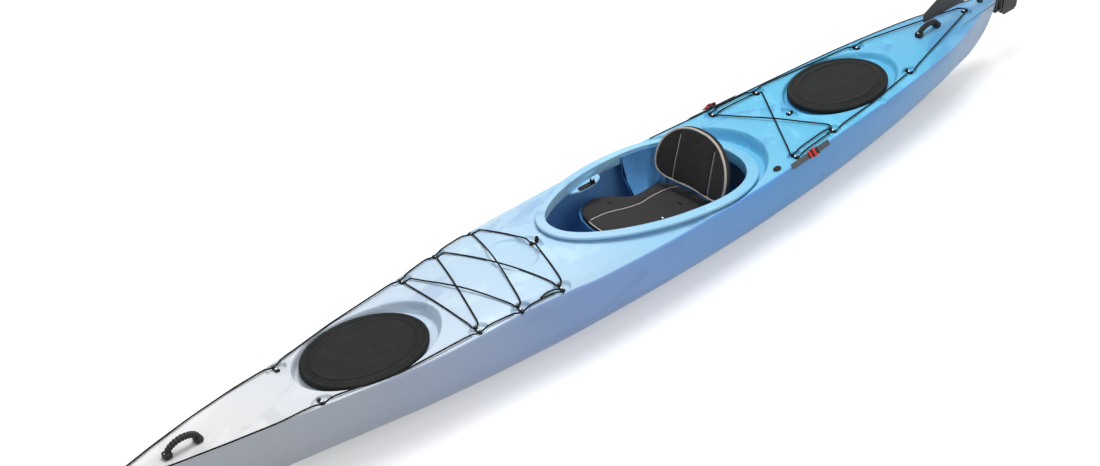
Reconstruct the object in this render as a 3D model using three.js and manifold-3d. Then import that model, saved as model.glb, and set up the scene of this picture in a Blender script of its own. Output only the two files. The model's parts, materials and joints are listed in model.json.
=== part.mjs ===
// A one-seat sea kayak, 5.03 m long, built as separate pieces that seat on each other.
// Millimetres. +X points to the bow, +Y to port, +Z up. z = 0 is the flat keel strip amidships.
import * as THREE from 'three';
import { mergeVertices } from 'three/addons/utils/BufferGeometryUtils.js';
import Module from 'manifold-3d';

const wasm = await Module();
wasm.setup();

const SIDES = { port: 1, starboard: -1 };

// Which eye of a fitting a cord takes, and which way it runs through it.
const outer = 1;
const inner = -1;
const toBow = 1;
const toStern = -1;
const toPort = 1;

// Driving sizes of the moulded hull. The tables give shares of these along the length.
const HULL = {
  length: 5030, halfBeam: 303, depth: 310, wall: 7, keelHalf: 24,
  leastHalf: 1, solidEnds: 70, stations: 32, sidePoints: 6, deckPoints: 5,
  innerStations: 20, innerSidePoints: 4, innerDeckPoints: 3,
};
// Each row: station (-1 stern, +1 bow), then half breadth, sheer height, keel height and
// deck crown height as shares, then the exponents of the side's and of the deck's curve.
const LINES_SHARES = [
  [-1.000, 0.040, 1.105, 0.880, 1.120, 1.7, 0.55],
  [-0.975, 0.100, 1.100, 0.600, 1.122, 1.7, 0.55],
  [-0.945, 0.165, 1.093, 0.430, 1.124, 1.7, 0.55],
  [-0.910, 0.250, 1.085, 0.330, 1.126, 1.7, 0.55],
  [-0.860, 0.370, 1.073, 0.245, 1.118, 1.7, 0.55],
  [-0.795, 0.510, 1.060, 0.165, 1.100, 1.8, 0.55],
  [-0.640, 0.695, 1.040, 0.055, 1.085, 2.2, 0.55],
  [-0.440, 0.830, 1.025, 0.008, 1.055, 2.8, 0.55],
  [-0.300, 0.905, 1.008, 0.000, 1.030, 3.0, 0.55],
  [-0.200, 0.955, 1.003, 0.000, 1.060, 3.0, 0.55],
  [0.000, 1.000, 0.998, 0.000, 1.190, 2.8, 0.55],
  [0.170, 0.965, 1.006, 0.000, 1.262, 2.7, 0.50],
  [0.220, 0.925, 1.022, 0.000, 1.270, 2.75, 0.45],
  [0.300, 0.862, 1.045, 0.000, 1.235, 2.7, 0.42],
  [0.390, 0.804, 1.050, 0.008, 1.148, 2.48, 0.42],
  [0.480, 0.734, 1.050, 0.025, 1.105, 2.22, 0.45],
  [0.640, 0.540, 1.090, 0.110, 1.100, 1.92, 0.60],
  [0.795, 0.345, 1.132, 0.240, 1.076, 1.68, 0.80],
  [0.900, 0.195, 1.150, 0.390, 1.096, 1.70, 0.80],
  [0.960, 0.101, 1.160, 0.580, 1.135, 1.65, 0.80],
  [1.000, 0.035, 1.168, 0.900, 1.168, 1.50, 0.80],
];
const [STATION, HALF, SHEER, KEEL, CROWN, POWER, DECK_POWER] = LINES_SHARES[0].keys();
const FLAT_KEEL_SHARE = 0.36;

// How far each stops short of the hull's half breadth.
const INBOARD = {
  rim: 60, flange: 19, rearWell: 3, seatFront: 81, seatWaist: 143, seatRear: 121, backrest: 111,
};
// How high each lies over the hull's depth.
const OVER_DEPTH = {
  rim: 50, rearWell: -46, frontHatch: 21, rearHatch: 24, frontHatchWell: -10, rearHatchWell: -7,
  skegBox: -110, rudderPivot: 132, headTop: 40, headFoot: -104, sleeveTop: 16, sleeveFoot: -58, arm: 34,
};
const alongHull = (share) => share * HULL.length / 2;
const halfAt = (x) => linesAt(x).half;

// The cockpit rim. Its flange lies on a plane that rises towards the bow.
const COAMING = {
  inner: { x: -127, long: 513, wide: HULL.halfBeam - INBOARD.rim, eggShare: -0.25, powerShare: 2.2 },
  outer: { x: -140, long: 568, wide: HULL.halfBeam - INBOARD.flange, eggShare: -0.20, powerShare: 2.13 },
  planeX: -127, riseShare: 0.105,
  flangeDrop: 6, flangeThick: 8, lipDrop: 15, lipWall: 9, neckWall: 8, neckDepth: 52, segments: 40,
};
const REAR_WELL = {
  x: -150, long: 628, wide: HULL.halfBeam - INBOARD.rearWell, eggShare: -0.10, powerShare: 2.1,
  floorX: -708, riseShare: 0.1216, flare: 14,
};

// The two hatches share one design and differ in place and size.
const HATCH = {
  skirt: 24, openingDrop: 40, skirtWall: 11, plate: 6, crown: 5, edgeRound: 8, lip: 2, bead: 3, beadHalf: 6,
  collarWall: 7, collarGap: 3, collarTopGap: 1.5, footClear: 1, besideWell: 7, wellFlare: 12, segments: 32,
};
const HATCH_SIZES = {
  front: { long: 268, wellLong: 316, wellAhead: -12 },
  rear: { long: 261, wellLong: 318, wellAhead: -18 },
};
const HATCH_SHARES = {
  front: { along: 0.53201, wide: 0.9096, rise: 0.018 },
  rear: { along: -0.53917, wide: 0.8014, rise: 0.004 },
};
// The cover's section from its middle out to its skirt's foot.
const COVER_SHARES = {
  crownAt: 0.35, crownHigh: 0.9, beadAt: 0.75, beadFoot: 0.45, beadRound: 0.6, beadInner: 0.4,
  beadOuter: 0.35, beyondBead: 0.3, edge: 0.3, waist: 0.62, foot: 0.72,
};
const HATCHES = {};
for (const [key, size] of Object.entries(HATCH_SIZES)) {
  const x = alongHull(HATCH_SHARES[key].along);
  const wide = HATCH_SHARES[key].wide * halfAt(x);
  HATCHES[key] = {
    x, wide, long: size.long, riseShare: HATCH_SHARES[key].rise,
    z: HULL.depth + OVER_DEPTH[`${key}Hatch`], floorZ: HULL.depth + OVER_DEPTH[`${key}HatchWell`],
    wellX: x + size.wellAhead, wellLong: size.wellLong, wellWide: wide + HATCH.besideWell,
  };
}

const BULKHEAD = { alongShare: 0.35984, behindWell: 34, thick: 12, gap: 0.5, ribInset: 26, ribHeight: 5 };
const BULKHEADS = {
  front: alongHull(BULKHEAD.alongShare),
  rear: REAR_WELL.x - REAR_WELL.long - BULKHEAD.behindWell,
};

// Deck fittings, both sides alike: place along the hull as a share of its half length, and
// distance from the centre line as a share of the half breadth there.
const FITTING_SHARES = {
  f0: [0.65368, 0.8075], f1: [0.38728, 0.8682], f2: [0.31093, 0.9115], f3: [0.23181, 0.9048],
  r1: [-0.31690, 0.8506], r2: [-0.42227, 0.8402], r3: [-0.66362, 0.7262],
};
// The eyes on the centre line: two near the ends, one ahead of the rim and one of the rear hatch.
const EYE = { bowShare: 0.96223, sternShare: -0.90179, aheadOfRim: 58, aheadOfHatch: 63 };
const RIM_FRONT = COAMING.outer.x + COAMING.outer.long;
const EYES = {
  bow_eye: alongHull(EYE.bowShare),
  foredeck_eye: RIM_FRONT + EYE.aheadOfRim,
  stern_eye: alongHull(EYE.sternShare),
  hatch_eye: HATCHES.rear.x + HATCHES.rear.long + EYE.aheadOfHatch,
};
const FITTING = {
  half: 20, thick: 11, eyeAt: 13.5, eyeRadius: 3.7, eyeHeight: -3.4, eyeWall: 2.4, run: 2, sink: 13.4,
  scoopLong: 48, scoopWide: 29, scoopDeep: 14, scoopHigh: 9, scoopFloorShare: 0.76, scoopSides: 10,
  bolt: 4.6, boltHeight: 2.2,
};
const COMPASS = { aheadOfRim: 172, radius: 105, step: 1, segments: 24 };
COMPASS.x = RIM_FRONT + COMPASS.aheadOfRim;
const NOTCH = { behindHatch: 42, wide: 34, deep: 9 };
const CORD = {
  radius: 3, gap: 2, segments: 4, lift: 8, step: 58, elbow: 7, rimStep: 3, rimSteps: 40, rimLift: 4.2,
  besideWell: 7,
};
// Where the safety line rests on the foredeck before the bow, as shares like the fittings'.
const BOW_LINE_SHARES = [[0.72763, 1.0017], [0.80716, 1.0142], [0.88270, 0.9876]];

const SOFT_GAP = 0.5;
const SEAT = {
  rearX: -487, frontX: 118, rearZ: 116, riseShare: 0.2, outlinePoints: 40,
  frontHalf: HULL.halfBeam - INBOARD.seatFront,
  waistHalf: HULL.halfBeam - INBOARD.seatWaist,
  rearHalf: HULL.halfBeam - INBOARD.seatRear,
  thick: 5, lip: 10, lipHigh: 12, footThick: 12, footWide: 190, footGap: 0.8, feet: [-400, -40],
  wingRearX: -466, wingFrontX: -250, wingClear: 1.5, wingTopBelow: 14,
  wingWall: 5, wingBend: 26, wingSteps: 5,
};
// The seat's plan from the rear to the front: share of the length, share of a width, which width.
const SEAT_OUTLINE_SHARES = [
  [0, 0, 'rearHalf'], [0.005, 0.70, 'rearHalf'], [0.07, 1.0, 'rearHalf'], [0.22, 0.98, 'rearHalf'],
  [0.42, 1.0, 'waistHalf'], [0.56, 0.90, 'frontHalf'], [0.66, 1.0, 'frontHalf'], [0.80, 0.94, 'frontHalf'],
  [0.94, 0.62, 'frontHalf'], [1, 0, 'frontHalf'],
];
const PAD = {
  thick: 28, gap: 0.6, crown: 8, drawIn: 8, inset: 6, seamIn: 92, channel: 9, channelDeep: 4, middleIn: 128,
};
const PAD_SHARES = { low: 0.2, high: 0.8, seamCrown: 0.7, insideCrown: 0.8, backLow: 0.25, backHigh: 0.75 };
const BACK = {
  baseX: -446, baseZ: 214, top: 258, half: HULL.halfBeam - INBOARD.backrest,
  lean: 11.2, wrap: 26, shell: 5, pad: 30, crown: 6, gap: 2,
  outlinePoints: 28, strapY: 46, strapHigh: 34, strapThick: 4, strapFront: 1,
  hinge: 3, hingeGap: 0.4, postTop: 6, postFoot: 9, postKneeZ: 158,
};
// The backrest's outline: share of the half width, share of the height, from its foot up.
const BACK_OUTLINE_SHARES = [
  [0, 0], [0.62, 0.0], [0.90, 0.07], [1.0, 0.24], [0.98, 0.46], [0.87, 0.68], [0.62, 0.88], [0.30, 0.98],
  [0, 1],
];
const BRACE = {
  x: 0, below: 43.335, rootIn: 3, hookLong: 190, hookDeep: 46, hookThick: 8, hookCurveShare: 0.6,
  long: 92, wide: 22, thick: 5, inboard: 30, gap: 0.5, knob: 10, knobHigh: 15, knobX: -30,
};
BRACE.z = coamingZ(BRACE.x) - BRACE.below;
BRACE.inY = coamingHalf(BRACE.x) - BRACE.inboard;
// The knob's outline: share of its radius, share of its height.
const KNOB_SHARES = [[0.6, 0], [1, 0.25], [1, 0.8], [0.8, 1]];
const FOOT = {
  alongShare: 0.23857, railLong: 360, railHigh: 32, railDeep: 12, standOff: 8.24, z: 118,
  grooveHigh: 14, grooveFloor: 5,
  endWall: 14, footLong: 24, footReach: 60, footLap: 1, teeth: 9, pitch: 34, tooth: 5,
  pedalAhead: 40, pedalHigh: 116, pedalUp: 16, pedalWide: 82, pedalThick: 9, carriage: 58, carriageDeep: 10,
  gap: 0.8, tilt: 12, ribs: 5, rib: 7, ribWideShare: 0.86,
};
FOOT.railX = alongHull(FOOT.alongShare);
FOOT.pedalX = FOOT.railX + FOOT.pedalAhead;
// The rails stand off the hull's side where it is narrowest, at their front lower corner.
FOOT.railY = sideY(FOOT.railX + FOOT.railLong / 2, FOOT.z - FOOT.railHigh / 2, HULL.wall) - FOOT.standOff;

const SKEG = {
  alongShare: -0.69264, pivotZ: 66, long: 366, wide: 118, thick: 7, tipZ: 6, tailRise: 44,
  tipRoundShare: 0.2, boxAhead: 42, boxBehind: 430, boxWall: 4, boxClear: 4, slotTop: 110,
  pin: 4, pinGap: 0.5, boss: 15, pinHead: 7, pinHeadThick: 3,
};
SKEG.pivotX = alongHull(SKEG.alongShare);
SKEG.boxFrontX = SKEG.pivotX + SKEG.boxAhead;
SKEG.boxRearX = SKEG.pivotX - SKEG.boxBehind;
SKEG.boxTop = HULL.depth + OVER_DEPTH.skegBox;
// Arcs of the blades' outlines: from and to as shares of a half turn, and how many steps.
const SKEG_ARC_SHARES = { nose: [0.611, -0.389, 5], tip: [-0.5, -0.944, 3], tail: [1, 0.5, 3] };
const RUDDER_ARC_SHARES = { hub: [0.444, 1.5, 7], tip: [-0.5, 0, 3], eye: [0.833, 0.167, 4] };
const RUDDER = {
  axisBehind: 45, pivotBehind: 64, tailBehind: 66, reach: 674, rootBelow: 40,
  thick: 7, width: 122, tipWidth: 46,
  shoulderShare: 0.85, shoulderHighShare: 0.86, taperShare: 0.78, bellyShare: 0.72,
  foot: 16, cheekGap: 1, cheekWall: 7, eyeWall: 20, webGap: 2.5, webThick: 9,
  sleeve: 12, lugGap: 0.6, lugHigh: 10, bracketWall: 9, armHalf: 62, armThick: 7, yokeLong: 44, yokeBack: 37,
  pinRadius: 5, pinGap: 0.5, pinOver: 11, pinHead: 8, pinHeadThick: 3,
};
RUDDER.axisX = -HULL.length / 2 - RUDDER.axisBehind;
RUDDER.pivotX = RUDDER.axisX - RUDDER.pivotBehind;
RUDDER.tailX = RUDDER.pivotX - RUDDER.tailBehind;
RUDDER.tipX = RUDDER.pivotX + RUDDER.reach;
RUDDER.pivotZ = HULL.depth + OVER_DEPTH.rudderPivot;
RUDDER.rootZ = RUDDER.pivotZ - RUDDER.rootBelow;
RUDDER.headTop = HULL.depth + OVER_DEPTH.headTop;
RUDDER.headBottom = HULL.depth + OVER_DEPTH.headFoot;
RUDDER.sleeveHigh = HULL.depth + OVER_DEPTH.sleeveTop;
RUDDER.sleeveLow = HULL.depth + OVER_DEPTH.sleeveFoot;
RUDDER.armZ = HULL.depth + OVER_DEPTH.arm;
const CABLE = {
  exitShares: [-0.86203, 0.7587],
  radius: 1.5, gap: 0.7, tail: 38, eye: 6, guide: 5, guideLong: 76, footShare: 0.8,
};
// The thin line's ends and the guides that it runs through, as shares of the half length.
const LIFT_SHARES = { from: -0.18131, to: -0.99245, guides: [-0.19165, -0.65527] };
const LIFT = {
  radius: 1.8, inboard: 12, endHalf: 10, step: 72, slot: 9, slotHigh: 6.5,
  guideWide: 22, guideHigh: 11, guideLong: 22,
};

const HANDLE = {
  reach: 64, radius: 12.5, rib: 1.8, ribs: 14, sides: 9, foot: 30, footHigh: 22, footWide: 32, footLift: 0.7,
  gap: 0.6, rootShare: 0.62,
};
const HANDLES = {
  bow_handle: { alongShare: 0.85249, rise: 52 },
  stern_handle: { alongShare: -0.79284, rise: 40 },
};
const PLUG = {
  alongShare: -0.9495, radius: 15, high: 8, gap: 0.8, notches: 8, notch: 2.5, grip: 5, gripShare: 0.75,
};
const STRAP = { width: 25, thick: 2, gap: 0.8, steps: 6 };
const STRAP_SHARES = {
  port: { from: -0.28708, buckle: -0.34513, to: -0.38887 },
  starboard: { from: -0.28072, buckle: -0.33161, to: -0.38807 },
};
const BUCKLE = {
  long: 42, wide: 34, high: 12, wall: 2.5, windowShare: 0.4, tongue: 24, prong: 5, bar: 12, gap: 0.6,
};
const CLEAT = { alongShare: -0.26322, outShare: 0.8846, long: 44, wide: 26, high: 12, jaw: 5, gap: 0.8 };
// The cleat's outline: share of its half length, share of its height.
const CLEAT_OUTLINE_SHARES = [[0.92, 0], [1, 0.3], [0.8, 0.75], [0.35, 1]];
const OVERRUN = 40;
// How many sides or steps each round form is drawn with.
const FACETS = {
  rodSides: 12, boltSides: 6, holeSegments: 4, wireSides: 8, eyeSides: 10, tabSegments: 6, cheekSegments: 5,
  knobSides: 12, domeSides: 16,
};

const paint = (color, roughness, metalness = 0) =>
  new THREE.MeshStandardMaterial({ color, roughness, metalness });
const FINISH = {
  hull: paint(0x7fbfe8, 0.35),
  lining: paint(0x2f5f9e, 0.5),
  foam: paint(0xdfe3e6, 0.9),
  rubber: paint(0x303131, 0.55),
  black: paint(0x17181a, 0.5),
  cord: paint(0x101113, 0.8),
  fabric: paint(0x413e3c, 0.9),
  steel: paint(0xc9ccce, 0.3, 1),
  grey: paint(0x4b4648, 0.45),
  red: paint(0xc93c3c, 0.4),
  webbing: paint(0x6e7377, 0.85),
};

const kayak = new THREE.Group();
kayak.name = 'sea_kayak';

// Adds one named piece to the kayak.
function add(name, geometry, material, place = new THREE.Matrix4()) {
  const mesh = new THREE.Mesh(geometry, material);
  mesh.name = name;
  mesh.applyMatrix4(place);
  kayak.add(mesh);
  return mesh;
}

// Turns a closed geometry into a solid that can be cut and joined.
function solid(geometry) {
  const bare = geometry.index ? geometry.toNonIndexed() : geometry.clone();
  for (const key of Object.keys(bare.attributes)) {
    if (key !== 'position') bare.deleteAttribute(key);
  }
  const merged = mergeVertices(bare, 1e-4);
  return new wasm.Manifold(new wasm.Mesh({
    numProp: 3,
    vertProperties: merged.attributes.position.array,
    triVerts: new Uint32Array(merged.index.array),
  }));
}

// Turns a solid back into a geometry.
function geometryOf(body) {
  const mesh = body.getMesh();
  const geometry = new THREE.BufferGeometry();
  geometry.setAttribute('position', new THREE.BufferAttribute(new Float32Array(mesh.vertProperties), 3));
  geometry.setIndex([...mesh.triVerts]);
  geometry.computeVertexNormals();
  return geometry;
}

const unite = (first, ...rest) => rest.reduce((sum, each) => sum.add(each), first);
const cut = (body, ...tools) => tools.reduce((left, tool) => left.subtract(tool), body);
const moved = (geometry, x, y, z) => geometry.clone().translate(x, y, z);

// Skins a list of rings, each the same number of points. Looped rings close into a ring body,
// others get a fan at each end. The faces are turned to point out.
function loft(rings, looped = false) {
  const across = rings[0].length;
  const positions = [];
  const faces = [];
  for (const ring of rings) {
    for (const p of ring) positions.push(p.x, p.y, p.z);
  }
  const last = looped ? rings.length : rings.length - 1;
  for (let i = 0; i < last; i += 1) {
    for (let j = 0; j < across; j += 1) {
      const a = i * across + j;
      const b = i * across + (j + 1) % across;
      const c = ((i + 1) % rings.length) * across + j;
      const d = ((i + 1) % rings.length) * across + (j + 1) % across;
      faces.push(a, b, d, a, d, c);
    }
  }
  if (!looped) {
    for (const end of [0, rings.length - 1]) {
      const centre = new THREE.Vector3();
      rings[end].forEach((p) => centre.addScaledVector(p, 1 / across));
      const tip = positions.length / 3;
      positions.push(centre.x, centre.y, centre.z);
      for (let j = 0; j < across; j += 1) {
        const a = end * across + j;
        const b = end * across + (j + 1) % across;
        if (end === 0) faces.push(tip, b, a);
        else faces.push(tip, a, b);
      }
    }
  }
  const geometry = new THREE.BufferGeometry();
  geometry.setAttribute('position', new THREE.Float32BufferAttribute(positions, 3));
  geometry.setIndex(facingOut(positions, faces));
  return geometry;
}

// Reverses every face when the body they bound has a negative volume.
function facingOut(positions, faces) {
  const at = (i) => new THREE.Vector3(positions[3 * i], positions[3 * i + 1], positions[3 * i + 2]);
  let volume = 0;
  for (let i = 0; i < faces.length; i += 3) {
    volume += at(faces[i]).dot(at(faces[i + 1]).cross(at(faces[i + 2])));
  }
  if (volume >= 0) return faces;
  const turned = [];
  for (let i = 0; i < faces.length; i += 3) turned.push(faces[i], faces[i + 2], faces[i + 1]);
  return turned;
}

// Reads one column of a table whose first column runs upwards, along a smooth curve.
function readTable(table, column, at) {
  const last = table.length - 1;
  const s = Math.min(Math.max(at, table[0][STATION]), table[last][STATION]);
  let i = 0;
  while (i < last - 1 && s > table[i + 1][STATION]) i += 1;
  const slope = (k) => {
    const a = Math.max(k - 1, 0);
    const b = Math.min(k + 1, last);
    return (table[b][column] - table[a][column]) / (table[b][STATION] - table[a][STATION]);
  };
  const span = table[i + 1][STATION] - table[i][STATION];
  const t = (s - table[i][STATION]) / span;
  const h00 = 2 * t ** 3 - 3 * t ** 2 + 1;
  const h10 = t ** 3 - 2 * t ** 2 + t;
  const h01 = 3 * t ** 2 - 2 * t ** 3;
  const h11 = t ** 3 - t ** 2;
  return h00 * table[i][column] + h10 * span * slope(i)
    + h01 * table[i + 1][column] + h11 * span * slope(i + 1);
}

// The hull's lines at one place along the length, drawn in by inset.
function linesAt(x, inset = 0) {
  const s = x / (HULL.length / 2);
  const half = readTable(LINES_SHARES, HALF, s) * HULL.halfBeam;
  const keel = readTable(LINES_SHARES, KEEL, s) * HULL.depth;
  const flat = Math.abs(s) < FLAT_KEEL_SHARE ? 0 : keel;
  return {
    half: Math.max(half - inset, HULL.leastHalf),
    sheer: readTable(LINES_SHARES, SHEER, s) * HULL.depth,
    keel: Math.max(flat, 0) + inset,
    crown: readTable(LINES_SHARES, CROWN, s) * HULL.depth - inset,
    power: readTable(LINES_SHARES, POWER, s),
    deckPower: readTable(LINES_SHARES, DECK_POWER, s),
    strip: Math.min(HULL.keelHalf, (half - inset) / 3),
  };
}

// Half the breadth of the hull's side at one height, drawn in by inset.
function sideY(x, z, inset) {
  const l = linesAt(x, inset);
  const down = (l.sheer - z) / (l.sheer - l.keel);
  return l.strip + (l.half - l.strip) * (1 - down ** l.power) ** (1 / l.power);
}

// Height of the bare deck, without wells and scoops.
function deckZ(x, y, inset = 0) {
  const l = linesAt(x, inset);
  const t = Math.min((y / l.half) ** 2, 1);
  return l.sheer + (l.crown - l.sheer) * (1 - t) ** l.deckPower;
}

// The deck's outward normal, from small steps over its surface.
function deckNormal(x, y) {
  const step = HULL.wall;
  const dx = (deckZ(x + step, y) - deckZ(x - step, y)) / (2 * step);
  const dy = (deckZ(x, y + step) - deckZ(x, y - step)) / (2 * step);
  return new THREE.Vector3(-dx, -dy, 1).normalize();
}

// One closed section of the hull: from the port sheer down to the keel strip, up the
// starboard side and back over the deck.
function hullSection(x, inset = 0) {
  const l = linesAt(x, inset);
  const sidePoints = inset > 0 ? HULL.innerSidePoints : HULL.sidePoints;
  const deckPoints = inset > 0 ? HULL.innerDeckPoints : HULL.deckPoints;
  const side = [];
  for (let i = 0; i <= sidePoints; i += 1) {
    const angle = (i / sidePoints) * Math.PI / 2;
    side.push([
      l.strip + (l.half - l.strip) * Math.cos(angle) ** (2 / l.power),
      l.sheer - (l.sheer - l.keel) * Math.sin(angle) ** (2 / l.power),
    ]);
  }
  const deck = [];
  for (let i = 1; i <= deckPoints; i += 1) {
    const y = l.half * Math.cos((i / deckPoints) * Math.PI / 2);
    deck.push([y, deckZ(x, y, inset)]);
  }
  const ring = side.map(([y, z]) => new THREE.Vector3(x, y, z));
  side.slice().reverse().forEach(([y, z]) => ring.push(new THREE.Vector3(x, -y, z)));
  deck.forEach(([y, z]) => ring.push(new THREE.Vector3(x, -y, z)));
  deck.slice(0, -1).reverse().forEach(([y, z]) => ring.push(new THREE.Vector3(x, y, z)));
  return ring;
}

// The hull's whole form as one solid, drawn in by inset and stopping short of the ends.
function hullForm(inset, fromX, toX, stations) {
  const rings = [];
  for (let i = 0; i <= stations; i += 1) {
    const t = i / stations;
    const eased = 0.5 - 0.5 * Math.cos(Math.PI * t);
    const share = 0.5 * (t + eased);
    rings.push(hullSection(fromX + (toX - fromX) * share, inset));
  }
  return solid(loft(rings));
}

// A point of an oval at one angle: a superellipse, fuller towards one end.
function ovalPoint(oval, angle, z, grow = 0) {
  const c = Math.cos(angle);
  const s = Math.sin(angle);
  const x = oval.x + (oval.long + grow) * Math.sign(c) * Math.abs(c) ** (2 / oval.powerShare);
  const y = (oval.wide + grow) * Math.sign(s) * Math.abs(s) ** (2 / oval.powerShare) * (1 + oval.eggShare * c);
  return new THREE.Vector3(x, y, z);
}

// An upright oval plug. Floor and roof follow the planes given as functions of x.
function ovalPlug(oval, floorAt, roofAt, flare, segments, grow = 0) {
  const bottom = [];
  const top = [];
  for (let i = 0; i < segments; i += 1) {
    const angle = (i / segments) * 2 * Math.PI;
    const low = ovalPoint(oval, angle, 0, grow - flare / 2);
    const high = ovalPoint(oval, angle, 0, grow + flare / 2);
    bottom.push(low.setZ(floorAt(low.x)));
    top.push(high.setZ(roofAt(high.x)));
  }
  return solid(loft([bottom, top]));
}

// Height of the rim's plane at one place along it.
function coamingZ(x) {
  return HULL.depth + OVER_DEPTH.rim + COAMING.riseShare * (x - COAMING.planeX);
}

// The cockpit rim: an upright neck round the opening with a flange turned out at its top.
function coamingRing() {
  const flangeWide = COAMING.outer.wide - COAMING.inner.wide;
  const share = (across) => across / flangeWide;
  const profile = [
    [0, 0], [share(flangeWide), -COAMING.flangeDrop], [share(flangeWide), -COAMING.lipDrop],
    [1 - share(COAMING.lipWall), -COAMING.lipDrop],
    [1 - share(COAMING.lipWall), -COAMING.flangeDrop - COAMING.flangeThick],
    [share(COAMING.neckWall), -COAMING.flangeThick], [share(COAMING.neckWall), -COAMING.neckDepth],
    [0, -COAMING.neckDepth],
  ];
  const rings = [];
  for (let i = 0; i < COAMING.segments; i += 1) {
    const angle = (i / COAMING.segments) * 2 * Math.PI;
    const near = ovalPoint(COAMING.inner, angle, 0);
    const far = ovalPoint(COAMING.outer, angle, 0);
    rings.push(profile.map(([w, dz]) => {
      const p = near.clone().lerp(far, w);
      return p.setZ(coamingZ(p.x) + dz);
    }));
  }
  return solid(loft(rings, true));
}

// The collar round a hatch opening, which the cover's skirt closes over.
function hatchOval(hatch, inset) {
  return { x: hatch.x, long: hatch.long - inset, wide: hatch.wide - inset, eggShare: 0, powerShare: 2 };
}
const hatchTop = (hatch) => (x) => hatch.z + hatch.riseShare * (x - hatch.x);
function hatchCollar(hatch) {
  const outer = HATCH.skirtWall + HATCH.collarGap;
  const inner = outer + HATCH.collarWall;
  const top = (x) => hatchTop(hatch)(x) - HATCH.plate - HATCH.collarTopGap;
  const foot = hatch.floorZ - HULL.wall + HATCH.footClear;
  const rings = [];
  for (let i = 0; i < HATCH.segments; i += 1) {
    const angle = (i / HATCH.segments) * 2 * Math.PI;
    const near = ovalPoint(hatchOval(hatch, inner), angle, 0);
    const far = ovalPoint(hatchOval(hatch, outer), angle, 0);
    rings.push([
      near.clone().setZ(top(near.x)), far.clone().setZ(top(far.x)),
      far.clone().setZ(foot), near.clone().setZ(foot),
    ]);
  }
  return solid(loft(rings, true));
}

// The shaped pockets that the mould presses into the deck. Grown by the wall, each also
// presses into the hull's inside, so that the skin keeps its thickness there.
function deckPockets(grow) {
  const above = () => HULL.depth + HULL.halfBeam;
  const floorZ = HULL.depth + OVER_DEPTH.rearWell - grow;
  const rearFloor = (x) => floorZ + REAR_WELL.riseShare * (x - REAR_WELL.floorX);
  const pockets = [ovalPlug(REAR_WELL, rearFloor, above, REAR_WELL.flare, HATCH.segments, grow)];
  for (const hatch of Object.values(HATCHES)) {
    const well = { x: hatch.wellX, long: hatch.wellLong, wide: hatch.wellWide, eggShare: 0, powerShare: 2 };
    pockets.push(ovalPlug(well, () => hatch.floorZ - grow, above, HATCH.wellFlare, HATCH.segments, grow));
  }
  const tray = { x: COMPASS.x, long: COMPASS.radius, wide: COMPASS.radius, eggShare: 0, powerShare: 2 };
  const trayFloor = deckZ(COMPASS.x + COMPASS.radius, 0) - COMPASS.step - grow;
  pockets.push(ovalPlug(tray, () => trayFloor, above, 0, COMPASS.segments, grow));
  return pockets;
}

// A frame on the deck: a along the hull, o towards port, n straight out of the skin.
function deckFrame(x, y) {
  const n = deckNormal(x, y);
  const a = new THREE.Vector3(1, 0, 0).addScaledVector(n, -n.x).normalize();
  const o = new THREE.Vector3().crossVectors(n, a);
  const origin = new THREE.Vector3(x, y, deckZ(x, y));
  const matrix = new THREE.Matrix4().makeBasis(a, o, n).setPosition(origin);
  return { origin, a, o, n, matrix };
}

const fittingFrames = {};
for (const [key, [along, out]] of Object.entries(FITTING_SHARES)) {
  const x = alongHull(along);
  for (const [sideName, side] of Object.entries(SIDES)) {
    fittingFrames[`${key}_${sideName}`] = { ...deckFrame(x, side * out * halfAt(x)), side };
  }
}
// The eyes on the centre line are turned so that a cord runs through them from side to side.
for (const [key, x] of Object.entries(EYES)) {
  const frame = deckFrame(x, 0);
  const turned = new THREE.Matrix4().makeRotationZ(Math.PI / 2);
  fittingFrames[key] = { ...frame, matrix: frame.matrix.clone().multiply(turned), side: 0 };
}

// The shallow scoop in the gunwale that a deck fitting sits in.
function scoop(frame, grow) {
  const ring = (long, wide, z) => {
    const points = [];
    for (let i = 0; i < FITTING.scoopSides; i += 1) {
      const angle = (i / FITTING.scoopSides) * 2 * Math.PI;
      points.push(new THREE.Vector3(long * Math.cos(angle), wide * Math.sin(angle), z));
    }
    return points;
  };
  const floorShare = FITTING.scoopFloorShare;
  const foot = -FITTING.scoopDeep - grow;
  const rings = [
    ring(FITTING.scoopLong * floorShare + grow, FITTING.scoopWide * floorShare + grow, foot),
    ring(FITTING.scoopLong + grow, FITTING.scoopWide + grow, FITTING.scoopHigh),
  ];
  return solid(loft(rings).applyMatrix4(frame.matrix));
}

const scoops = (grow) => Object.values(fittingFrames).map((frame) => scoop(frame, grow));

// A tab under the cockpit rim that a thigh hooks under.
function thighHook(side) {
  const outline = new THREE.Shape();
  const half = BRACE.hookLong / 2;
  outline.moveTo(-half, 0);
  outline.lineTo(half, 0);
  outline.quadraticCurveTo(half * BRACE.hookCurveShare, -BRACE.hookDeep, 0, -BRACE.hookDeep);
  outline.quadraticCurveTo(-half * BRACE.hookCurveShare, -BRACE.hookDeep, -half, 0);
  const tab = new THREE.ExtrudeGeometry(outline, {
    depth: BRACE.hookThick, bevelEnabled: false, curveSegments: FACETS.tabSegments,
  });
  if (side < 0) tab.rotateZ(Math.PI);
  tab.translate(BRACE.x, side * (coamingHalf(BRACE.x) + BRACE.rootIn), BRACE.z - BRACE.hookThick);
  return solid(tab);
}

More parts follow.
